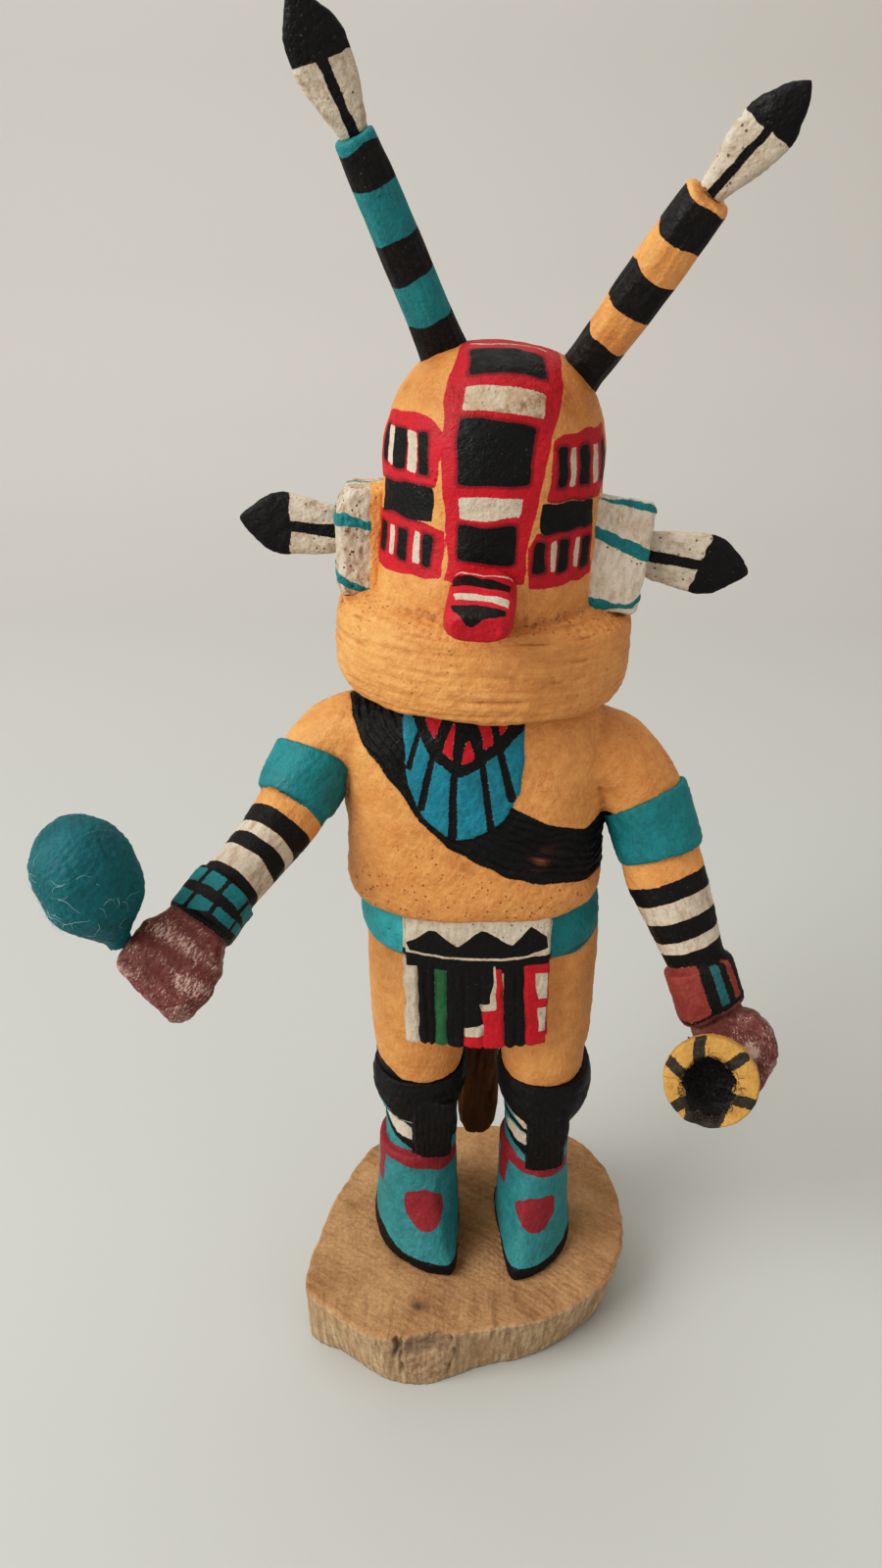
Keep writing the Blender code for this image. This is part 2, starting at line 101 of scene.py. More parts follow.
sweep_profile = [(-1.6, 0.0), (-0.5, 0.0), (0.55, 0.0), (0.72, 0.02), (0.86, 0.09), (0.96, 0.22),
                 (1.0, 0.4), (1.0, 1.8)]
sweep_half_width = 2.4
near_paper, far_paper = (0.485, 0.49, 0.465), (0.535, 0.515, 0.485)
sweep_mesh = bpy.data.meshes.new("paper_sweep")
sweep_mesh.from_pydata(
    [(x, y, cad_low.z + z) for y, z in sweep_profile for x in (-sweep_half_width, sweep_half_width)],
    [], [(2 * i, 2 * i + 1, 2 * i + 3, 2 * i + 2) for i in range(len(sweep_profile) - 1)])
sweep_mesh.shade_smooth()
sweep = bpy.data.objects.new("paper_sweep", sweep_mesh)
bpy.context.scene.collection.objects.link(sweep)
paper, shader = new_finish("pale_paper")
tree = paper.node_tree
way_back = node(tree, "ShaderNodeSeparateXYZ", {
    0: node(tree, "ShaderNodeTexCoord").outputs["Object"]}).outputs["Y"]
tree.links.new(tinted(tree, ranged(tree, way_back, 0.25, 0.9, smooth=False), near_paper, far_paper),
               shader.inputs["Base Color"])
shader.inputs["Roughness"].default_value = 0.85
shader.inputs["Specular IOR Level"].default_value = 0.25
sweep_mesh.materials.append(paper)

middle = Vector((0.0, 0.0, (cad_low.z + cad_high.z) / 2))
for name, place, width, height, watts, tint in (
        ("window_lamp", (-0.95, -0.55, 0.85), 0.9, 1.1, 18.0, (1.0, 0.99, 0.97)),
        ("fill_lamp", (0.9, -0.7, 0.5), 1.0, 1.0, 2.0, (1.0, 0.98, 0.95)),
        ("top_lamp", (0.0, 0.40, 1.4), 1.4, 1.0, 5.5, (1.0, 0.98, 0.95))):
    lamp = bpy.data.lights.new(name, "AREA")
    lamp.shape = "RECTANGLE"
    lamp.size, lamp.size_y, lamp.energy, lamp.color = width, height, watts, tint
    lamp_object = bpy.data.objects.new(name, lamp)
    lamp_object.location = place
    lamp_object.rotation_euler = (middle - Vector(place)).to_track_quat("-Z", "Y").to_euler()
    bpy.context.scene.collection.objects.link(lamp_object)

room = bpy.data.worlds.new("pale_room")
room.use_nodes = True
surroundings = room.node_tree.nodes["Background"]
surroundings.inputs["Color"].default_value = (1.0, 0.97, 0.92, 1.0)
surroundings.inputs["Strength"].default_value = 0.44
bpy.context.scene.world = room

lens = bpy.data.cameras.new("view")
lens.sensor_width, lens.lens, lens.clip_start = 36.0, 24.975, 0.001
camera = bpy.data.objects.new("view", lens)
camera.location = (0.0, -0.205, cad_low.z + 0.240)
camera.rotation_euler = (math.radians(64.0), 0.0, math.radians(2.15))
bpy.context.scene.collection.objects.link(camera)
bpy.context.scene.camera = camera

# The view's tones are deepened a little in the darks and lifted a little in the lights.
view_tones = bpy.context.scene.view_settings
view_tones.view_transform = "Standard"
view_tones.use_curve_mapping = True
tone_curve = view_tones.curve_mapping.curves[3]
for light_in, light_out in ((0.02, 0.011), (0.06, 0.045), (0.15, 0.135), (0.3, 0.31), (0.5, 0.55),
                            (0.75, 0.80)):
    tone_curve.points.new(light_in, light_out)
view_tones.curve_mapping.update()


# ---------------------------------------------------------------- log slice
# The doll's foot is a slice sawn across a thin log and left bare. Its rim keeps the fluted wood
# that lay under the bark, with an old knot and a crack in front, and its top has fuzzy saw marks.

mm = 0.001
well_outside = -9.0


def unevenness(points, size, seed):
    """A smooth random field, about -1 to 1, at points. Its swells are about as wide as size."""
    draw, waves = np.random.default_rng(seed), 18
    along = draw.normal(size=(waves, 3))
    along /= np.linalg.norm(along, axis=1, keepdims=True) * size * draw.uniform(0.7, 1.5, (waves, 1))
    turns = draw.uniform(0.0, math.tau, waves)
    return np.cos(points @ along.T * math.tau + turns).sum(axis=1) * 0.75 / math.sqrt(waves)


def ripples(points, seed, *swells):
    """Several swells together, each given by its height and size and drawn from its own seed."""
    return sum(rise * unevenness(points, size, seed + k) for k, (rise, size) in enumerate(swells))


def ramp(distance, width):
    """Rises evenly from 0 to 1 over the width and is level outside it."""
    return np.clip(distance / width, 0, 1)


def kept_to(where, inside):
    """A shape kept to some of the points. The rest lie well outside it."""
    return np.where(where, inside, well_outside)


def drawn_out(points, direction, share):
    """Points squeezed along a direction, so that a pattern made on them runs long that way."""
    direction = np.array(direction, float) / np.linalg.norm(direction)
    return points - np.outer(points @ direction, direction) * (1.0 - share)


def rim_curve(corners, per_span):
    """A smooth closed curve through the corners."""
    corners = np.array(corners, float)
    before, after, beyond = (np.roll(corners, k, axis=0) for k in (1, -1, -2))
    pieces = []
    for t in np.arange(per_span) / per_span:
        pieces.append(0.5 * (2 * corners + (after - before) * t
                             + (2 * before - 5 * corners + 4 * after - beyond) * t * t
                             + (3 * corners - 3 * after + beyond - before) * t ** 3))
    return np.stack(pieces, axis=1).reshape(-1, 2)


def put_on(name, mesh, finish, part):
    """Makes a mesh a piece of the doll, shown in place of the part's plain solid."""
    mesh.name = name
    mesh.materials.clear()
    mesh.materials.append(finish)
    mesh.shade_smooth()
    piece = bpy.data.objects.new(name, mesh)
    bpy.context.scene.collection.objects.link(piece)
    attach(piece, "root")
    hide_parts(part)


def grid_faces(rows, around, start=0):
    """Faces between rows of points, each row closed on itself."""
    faces = []
    for r in range(rows - 1):
        for i in range(around):
            j = (i + 1) % around
            a, b = start + r * around, start + (r + 1) * around
            faces.append((a + i, a + j, b + j, b + i))
    return faces


def note(mesh, name, values):
    """Keeps one number for each point of the mesh, for its material to read."""
    layer = mesh.attributes.new(name, "FLOAT", "POINT")
    layer.data.foreach_set("value", np.asarray(values, np.float32))


def grain_noise(tree, size, detail, stretch=(1.0, 1.0, 1.0), roughness=0.55, shift=0.0,
                turn=0.0, place=None):
    """Noise whose grains are size millimetres wide, drawn out along an axis by a small stretch and
    turned by degrees about the upright."""
    place = place or node(tree, "ShaderNodeTexCoord").outputs["Object"]
    if turn:
        place = node(tree, "ShaderNodeMapping", {
            "Vector": place, "Rotation": (0.0, 0.0, math.radians(turn))}).outputs[0]
    place = node(tree, "ShaderNodeMapping", {
        "Vector": place, "Scale": stretch, "Location": (shift, shift * 0.7, shift * 1.3)}).outputs[0]
    return node(tree, "ShaderNodeTexNoise", {
        "Vector": place, "Scale": 1.0 / (size * mm), "Detail": detail,
        "Roughness": roughness}).outputs["Fac"]


def worked_out(tree, operation, a, b=0.0):
    """The outcome of one operation on two numbers."""
    return node(tree, "ShaderNodeMath", {0: a, 1: b}, operation=operation).outputs[0]


def times(tree, a, b):
    """Two numbers multiplied."""
    return worked_out(tree, "MULTIPLY", a, b)


def plus(tree, *numbers):
    """Numbers added up."""
    total = numbers[0]
    for number in numbers[1:]:
        total = worked_out(tree, "ADD", total, number)
    return total


def noted(tree, name):
    """A number kept on the mesh."""
    return node(tree, "ShaderNodeAttribute", attribute_name=name).outputs["Fac"]


def raised(tree, shader, height):
    """Gives the shader a relief, its height in millimetres."""
    bump = node(tree, "ShaderNodeBump", {"Height": height, "Distance": mm, "Strength": 1.0})
    tree.links.new(bump.outputs[0], shader.inputs["Normal"])


slice_low, slice_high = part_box("log_slice_base")
slice_top = (slice_high.z - slice_low.z) / mm
slice_outline = rim_curve(
    [(-32, -31.2), (-24, -36.6), (-17.2, -38), (-9.5, -36.4), (0, -35.2), (13, -32.4), (21.6, -29.2),
     (29.6, -23.6), (35.4, -16.4), (39, -4), (36.8, 15), (27, 28), (8, 31), (-12, 29), (-27, 22),
     (-35.2, 4), (-38.8, -13), (-39.2, -24.6)], 30)
knot_place, hole_x, front_rim_y = np.array((-9.9, -37.0)), -16.8, -20.0
far_left_x, hollow_place, spot_place = -41.0, (27.0, -24.0), (-11.8, -28.5)
slice_undercut, hollow_depth, spot_width = 3.2, 1.4, 1.3
side_rows, top_rings, saw_pitch = 25, 76, 1.9


def inside_knot(points):
    """How far inside the old knot each point of the rim lies, in millimetres."""
    half = np.interp(points[:, 2] / slice_top, (0.0, 0.3, 0.6, 1.0), (3.6, 5.6, 6.4, 5.8))
    half = half + 0.7 * unevenness(points, 4.5, 20)
    return kept_to(points[:, 1] < front_rim_y, half - np.abs(points[:, 0] - knot_place[0]))


def gaping(points):
    """How far each point of the rim lies in the split round the knot or the hole beside it."""
    split = np.exp(-(inside_knot(points) / 0.5) ** 2) * np.clip((points[:, 2] - 1.0) / 5.0, 0.2, 1)
    split *= np.clip(0.7 + 0.8 * unevenness(points, 3.0, 22), 0, 1)
    hole = np.exp(-((points[:, 0] - hole_x - 0.3 * np.sin(points[:, 2])) / 0.62) ** 2)
    hole *= ramp(points[:, 2] - 9.5, 2.5) * (points[:, 1] < front_rim_y)
    return np.maximum(0.75 * split, hole)


rim_heights = np.concatenate([np.linspace(0.0, slice_top - 1.2, side_rows),
                              slice_top - np.array([0.75, 0.42, 0.18, 0.05])])
rim_lean = np.interp(rim_heights, [0.0, 1.2, slice_top - 0.8, slice_top], [1.0, 0.85, 0.0, 0.25])
outward = slice_outline / np.linalg.norm(slice_outline, axis=1, keepdims=True)
around = len(slice_outline)
from_knot = np.linalg.norm(slice_outline - knot_place, axis=1)
undercut = slice_undercut * np.minimum(1.0, from_knot / 14.0)
undercut *= np.where(slice_outline[:, 1] < 0, 1.0, 0.3)
undercut *= np.clip((slice_outline[:, 0] - far_left_x) / 9.0, 0.2, 1)
undercut += hollow_depth * np.exp(-np.sum((slice_outline - hollow_place) ** 2, axis=1) / 140.0)
rows = []
for height, lean in zip(rim_heights, rim_lean):
    at_height = np.column_stack([slice_outline, np.full(around, height)])
    fibres = drawn_out(at_height, (0, 0, 1), 0.06)
    in_knot = inside_knot(at_height)
    inward = undercut * lean + ripples(fibres, 11, (0.05, 2.1), (0.05, 0.9), (0.20, 6.0))
    inward += 0.08 * unevenness(at_height, 3.0, 21) + 0.10
    inward += ramp(in_knot, 0.8) * ripples(at_height, 14, (0.24, 3.4), (0.10, 1.2))
    inward += 0.55 * ramp(in_knot, 2.5) * math.tanh(height - 0.66 * slice_top)
    inward += 1.2 * gaping(at_height)
    rows.append(np.column_stack([slice_outline - outward * inward[:, None], at_height[:, 2]]))
chips = 0.35 * np.maximum(unevenness(rows[-1], 3.0, 16) - 0.25, 0)
chips += 0.9 * ramp(inside_knot(rows[-1]) + 1.0, 1.0) * np.maximum(unevenness(rows[-1], 2.0, 23), 0)
for k, share in ((-1, 1.0), (-2, 0.8), (-3, 0.5)):
    rows[k][:, 2] -= chips * share
rim_edge = rows[-1][:, :2]
for ring in range(1, top_rings):
    scale = 1.0 - (ring / top_rings) ** 0.92
    disc = np.column_stack([rim_edge * scale, np.full(around, slice_top)])
    saw = disc @ np.array([0.5, 0.866, 0.0])
    disc[:, 2] += (0.04 * np.sin(saw * math.tau / saw_pitch + 2.4 * unevenness(disc, 14.0, 17))
                   + ripples(disc, 18, (0.07, 1.0), (0.09, 4.0)) - 0.14)
    from_spot = np.hypot(disc[:, 0] - spot_place[0], disc[:, 1] - spot_place[1])
    disc[:, 2] -= 0.5 * np.exp(-(from_spot / spot_width) ** 2)
    rows.append(disc)
underside_ring = rows[0] * np.array([0.5, 0.5, 1.0])
slice_points = np.vstack([underside_ring] + rows + [[[0.0, 0.0, slice_top]], [[0.0, 0.0, 0.0]]])
slice_faces = grid_faces(len(rows) + 1, around)
centre_top, centre_under = len(slice_points) - 2, len(slice_points) - 1
last_ring = len(rows) * around
slice_faces += [(last_ring + i, last_ring + (i + 1) % around, centre_top) for i in range(around)]
slice_faces += [((i + 1) % around, i, centre_under) for i in range(around)]
slice_points = slice_points + (0.0, 0.0, slice_low.z / mm)

bare_wood, shader = new_finish("bare_log_wood")
tree = bare_wood.node_tree
sawn_tones = (0.285, 0.150, 0.065), (0.44, 0.26, 0.125)
rim_tones = (0.26, 0.165, 0.09), (0.53, 0.395, 0.245)
knot_tones = (0.28, 0.17, 0.095), (0.46, 0.32, 0.205)
crack_shade_tone = (0.03, 0.014, 0.008)
axes = node(tree, "ShaderNodeSeparateXYZ", {
    0: node(tree, "ShaderNodeTexCoord").outputs["Object"]}).outputs
on_top = ranged(tree, axes["Z"], slice_low.z + (slice_top - 0.9) * mm,
                slice_low.z + (slice_top - 0.3) * mm)
fuzz = ranged(tree, grain_noise(tree, 0.9, 4.0), 0.25, 0.75)
saw_marks = grain_noise(tree, 1.5, 3.0, (0.10, 1.0, 1.0), turn=30.0)
drying = times(tree, ranged(tree, grain_noise(tree, 2.2, 3.0, (1.0, 0.12, 1.0)), 0.5, 0.68),
               ranged(tree, axes["Y"], -32.0 * mm, -17.0 * mm, 0.5, 0.0))
top_colour = tinted(tree, ranged(tree, grain_noise(tree, 14.0, 4.0), 0.3, 0.7), *sawn_tones)
for amount, tone in (
        (ranged(tree, saw_marks, 0.42, 0.62, 0.0, 0.35), (0.46, 0.28, 0.145)),
        (ranged(tree, grain_noise(tree, 2.6, 3.0), 0.55, 0.8, 0.0, 0.4), (0.20, 0.095, 0.036)),
        (drying, (0.19, 0.09, 0.036))):
    top_colour = tinted(tree, amount, top_colour, tone)
fibre = grain_noise(tree, 1.1, 3.0, (1.0, 1.0, 0.05))
rim_colour = tinted(tree, ranged(tree, fibre, 0.25, 0.75), *rim_tones)
rim_colour = tinted(tree, ranged(tree, grain_noise(tree, 9.0, 3.0), 0.45, 0.7, 0.0, 0.55),
                    rim_colour, (0.36, 0.22, 0.115))
knot_colour = tinted(tree, ranged(tree, grain_noise(tree, 1.6, 4.0), 0.3, 0.7), *knot_tones)
wood_colour = tinted(tree, on_top, rim_colour, top_colour)
wood_colour = tinted(tree, noted(tree, "knot"), wood_colour, knot_colour)
# Painted shade: the splits round the knot and the hole beside it are coloured near black where shade
# falls in them. The dent in the top and the knot's sunken upper part are darkened with the same
# tone.
wood_colour = tinted(tree, noted(tree, "dark"), wood_colour, crack_shade_tone)
wood_colour = node(tree, "ShaderNodeVectorMath", {
    0: wood_colour, "Scale": ranged(tree, fuzz, 0.0, 1.0, 0.86, 1.12, False)},
    operation="SCALE").outputs[0]
tree.links.new(wood_colour, shader.inputs["Base Color"])
shader.inputs["Roughness"].default_value = 0.86
raised(tree, shader, plus(tree, times(tree, fuzz, 0.10),
                          times(tree, fibre, ranged(tree, on_top, 0.0, 1.0, 0.3, 0.0, False)),
                          times(tree, saw_marks, times(tree, on_top, 0.18))))

slice_mesh = bpy.data.meshes.new("log_slice_base")
slice_mesh.from_pydata((slice_points * mm).tolist(), [], slice_faces)
slice_mesh.validate()
put_on("log_slice_base", slice_mesh, bare_wood, "log_slice_base")
in_knot, height = inside_knot(slice_points), slice_points[:, 2]
on_rim = (slice_points[:, 1] < -31.0) & (height < slice_top - 0.3)
spot = np.hypot((slice_points[:, 0] - spot_place[0]) / 1.5, slice_points[:, 1] - spot_place[1])
note(slice_mesh, "knot", 0.85 * on_rim * ramp(in_knot, 1.2))
# Near black on the rim: painted shade in the splits and the hole. The dent in the top and the knot's
# sunken upper part are darkened too.
note(slice_mesh, "dark", np.max([
    0.85 * on_rim * gaping(slice_points),
    0.7 * np.exp(-(spot / spot_width) ** 2) * (height > slice_top - 1),
    0.3 * on_rim * ramp(in_knot, 1.5) * ramp(height - 0.62 * slice_top, 1.2)], axis=0))


# ---------------------------------------------------------------- case mask and collar
# The head and its ruff are whittled from the same soft root as the whole body, so their pieces
# stand for parts of one carving. The face is painted in tempera on ochre: a red column with
# black and white blocks between red eye panels. The back of the mask is left plain ochre.

lean_angle, lean_pivot = math.radians(2.6), np.array((0.1, -1.0, 165.0))
lean_turn = np.array(Matrix.Rotation(lean_angle, 3, "Y"))


def eased(knots, values, at):
    """Smooth curves through the values at the knots, with no bulge between two of them."""
    knots, values = np.array(knots, float), np.array(values, float)
    steps = np.diff(knots)[:, None]
    rise = np.diff(values, axis=0) / steps
    same_way = rise[:-1] * rise[1:] > 0
    inner = np.where(same_way, 3 * (steps[:-1] + steps[1:]) * rise[:-1] * rise[1:]
                     / np.where(same_way, (2 * steps[1:] + steps[:-1]) * rise[1:]
                                + (steps[1:] + 2 * steps[:-1]) * rise[:-1], 1.0), 0.0)
    slope = np.vstack([rise[:1], inner, rise[-1:]])
    k = np.clip(np.searchsorted(knots, at, side="right") - 1, 0, len(steps) - 1)
    t = ((at - knots[k]) / steps[k, 0])[:, None]
    return ((2 * t ** 3 - 3 * t ** 2 + 1) * values[k]
            + (t ** 3 - 2 * t ** 2 + t) * steps[k] * slope[k]
            + (3 * t ** 2 - 2 * t ** 3) * values[k + 1]
            + (t ** 3 - t ** 2) * steps[k] * slope[k + 1])


def limb(stations, power=2.0, across=(1.0, 0.0, 0.0), sides=84, rows=7):
    """Rings along a carved limb. A station is its centre, its half width and half thickness.
    Power 2 makes oval rings and more makes them squarer."""
    table = np.array([(*centre, width, depth) for centre, width, depth in stations], float)
    run = np.append(0.0, np.cumsum(np.linalg.norm(np.diff(table[:, :3], axis=0), axis=1)))
    at = np.interp(np.arange((len(run) - 1) * rows + 1) / rows, np.arange(len(run)), run)
    fine = eased(run, table, at)
    ahead = np.gradient(fine[:, :3], axis=0)
    ahead /= np.linalg.norm(ahead, axis=1, keepdims=True)
    across = np.array(across) - ahead * (ahead @ np.array(across))[:, None]
    across /= np.linalg.norm(across, axis=1, keepdims=True)
    through = np.cross(ahead, across)
    angle = np.arange(sides) / sides * math.tau
    u, v = (np.sign(w) * np.abs(w) ** (2.0 / power) for w in (np.cos(angle), np.sin(angle)))
    return (fine[:, None, :3] + across[:, None] * (fine[:, 3:4] * u)[..., None]
            + through[:, None] * (fine[:, 4:5] * v)[..., None])


def upright(profile, centre=(0.0, 0.0), power=2.0, sides=96, rows=7):
    """Rings of an upright body. The profile gives its heights, half widths and half depths."""
    return limb([((*centre, z), w, d) for z, w, d in profile], power, sides=sides, rows=rows)


def leaning(points):
    """Tilts the mask's points with the head, about the pivot in the neck."""
    return lean_pivot + (points - lean_pivot) @ lean_turn.T


def blended(solids, chip, softening=4):
    """Carves overlapping solids into one body and gives its mesh, all in millimetres. Chip is the
    distance between its points."""
    points, faces = [], []
    for rings in solids:
        count, sides = rings.shape[:2]
        start = sum(len(p) for p in points)
        points.append(rings.reshape(-1, 3))
        faces += grid_faces(count, sides, start)
        faces.append(tuple(range(start + sides - 1, start - 1, -1)))
        faces.append(tuple(range(start + (count - 1) * sides, start + count * sides)))
    mesh = bpy.data.meshes.new("solids")
    mesh.from_pydata(np.vstack(points).tolist(), [], faces)
    billet = bpy.data.objects.new("solids", mesh)
    bpy.context.scene.collection.objects.link(billet)
    carving = billet.modifiers.new("carving", "REMESH")
    carving.mode, carving.voxel_size = "VOXEL", chip
    smoothing = billet.modifiers.new("smoothing", "SMOOTH")
    smoothing.factor, smoothing.iterations = 0.5, softening
    carved = bpy.data.meshes.new_from_object(
        billet.evaluated_get(bpy.context.evaluated_depsgraph_get()))
    bpy.data.objects.remove(billet)
    return carved


def wander(points, size, seed):
    """How far a hand strays sideways and upwards, from about -1 to 1, as it paints a line."""
    return np.column_stack([unevenness(points, size, seed), unevenness(points, size, seed + 1)])


def measured(mesh):
    """A mesh's points, its outward directions and how far each point stands up as a ridge (more
    than 0) or lies in a hollow (less than 0), in millimetres."""
    points, directions = np.empty(len(mesh.vertices) * 3), np.empty(len(mesh.vertices) * 3)
    mesh.vertices.foreach_get("co", points)
    mesh.vertex_normals.foreach_get("vector", directions)
    points, directions = points.reshape(-1, 3), directions.reshape(-1, 3)
    edges = np.empty(len(mesh.edges) * 2, int)
    mesh.edges.foreach_get("vertices", edges)
    a, b = edges.reshape(-1, 2).T
    count = np.bincount(np.append(a, b), minlength=len(points))[:, None]
    soft = points.copy()
    for _ in range(14):
        total = np.column_stack([np.bincount(a, soft[b, k], len(points))
                                 + np.bincount(b, soft[a, k], len(points)) for k in range(3)])
        soft = 0.3 * soft + 0.7 * total / count
    return points, directions, ((points - soft) * directions).sum(axis=1)


def carved_piece(name, mesh, points, part, finish):
    """Turns a carved mesh and its final points into a piece that stands for the part or a share
    of it."""
    mesh.vertices.foreach_set("co", (points * mm).ravel())
    put_on(name, mesh, finish, part)
    mesh.update()


def from_line(at, start, end):
    """Flat points measured from the straight line between two points: how far along it each one
    lies, from 0 to 1, and how far away."""
    along = np.subtract(end, start)
    share = ramp((at - start) @ along, max(along @ along, 1e-9))
    return share, np.linalg.norm(at - start - share[:, None] * along, axis=1)


def within(at, corners):
    """How far inside a flat outline of any shape each point lies. It is negative outside."""
    corners = np.array(corners, float)
    nearest, inside = np.full(len(at), 99.0), np.zeros(len(at), bool)
    for start, end in zip(corners, np.roll(corners, -1, axis=0)):
        nearest = np.minimum(nearest, from_line(at, start, end)[1])
        between = (start[1] > at[:, 1]) != (end[1] > at[:, 1])
        if start[1] != end[1]:
            crossing = start[0] + (at[:, 1] - start[1]) * (end[0] - start[0]) / (end[1] - start[1])
            inside ^= between & (at[:, 0] < crossing)
    return np.where(inside, nearest, -nearest)


def block(at, corners, rounding):
    """Like within, for a convex shape painted with softly rounded corners."""
    corners = np.array(corners, float)
    sides = np.roll(corners, -1, axis=0) - corners
    squares = np.column_stack([-sides[:, 1], sides[:, 0]]) / np.linalg.norm(sides, axis=1)[:, None]
    middle = corners.mean(axis=0)
    depth = np.array([(at - corner) @ (square * np.sign((middle - corner) @ square))
                      for corner, square in zip(corners, squares)])
    least = depth.min(axis=0)
    return least - rounding * np.log(np.exp((least - depth) / rounding).sum(axis=0))


def stroke(at, path, width):
    """How far inside a brush stroke along a path each point lies. Width may be one per point."""
    path = np.array(path, float)
    width = np.broadcast_to(width, len(path)).astype(float)
    inside = np.full(len(at), -99.0)
    for k in range(len(path) - 1):
        share, away = from_line(at, path[k], path[k + 1])
        inside = np.maximum(inside, (width[k] + (width[k + 1] - width[k]) * share) / 2 - away)
    return inside


def new_coat(points, colours):
    """An unpainted coat: for each colour, how far inside that colour a point lies."""
    return {colour: np.full(len(points), well_outside) for colour in colours}


def brush(coat, colour, inside):
    """Lays a painted shape over all that is under it. A colour the coat lacks bares the ground."""
    for other in coat:
        if other == colour:
            coat[other] = np.maximum(coat[other], inside)
        else:
            coat[other] = np.minimum(coat[other], -inside)


def keep_coat(mesh, coat, ridges, strokes, pitted, scuffed=0.0, grimy=0.0):
    """Writes the coat, the ridges and hollows, the brush strokes, and where it is pitted, scuffed
    or grimy, on the mesh."""
    for colour, inside in coat.items():
        note(mesh, colour, np.clip(inside, -3.0, 3.0))
    layer = mesh.attributes.new("strokes", "FLOAT_VECTOR", "POINT")
    layer.data.foreach_set("vector", (strokes * mm).astype(np.float32).ravel())
    for name, values in (("ridge", ridges), ("pitted", pitted), ("scuffed", scuffed),
                         ("grimy", grimy)):
        note(mesh, name, np.broadcast_to(values, len(mesh.vertices)))


def light(red, green, blue):
    """A paint's colour as linear light, from its tones of 0 to 255."""
    return tuple(((tone / 255 + 0.055) / 1.055) ** 2.4 for tone in (red, green, blue))


paints = {
    "ochre": (light(184, 117, 60), light(223, 165, 103)),
    "teal": (light(20, 92, 96), light(40, 134, 138)),
    "green": (light(34, 82, 50), light(48, 108, 68)),
    "red": (light(152, 22, 34), light(204, 34, 50)),
    "black": (light(4, 4, 4), light(17, 17, 17)),
    "white": (light(176, 160, 140), light(208, 197, 180)),
}


def darkened(tree, colour, amount, by):
    """The colour multiplied by another, by amount: a darkening that never lightens what it covers.
    """
    stain = node(tree, "ShaderNodeVectorMath", {0: colour, 1: by}, operation="MULTIPLY").outputs[0]
    return tinted(tree, amount, colour, stain)


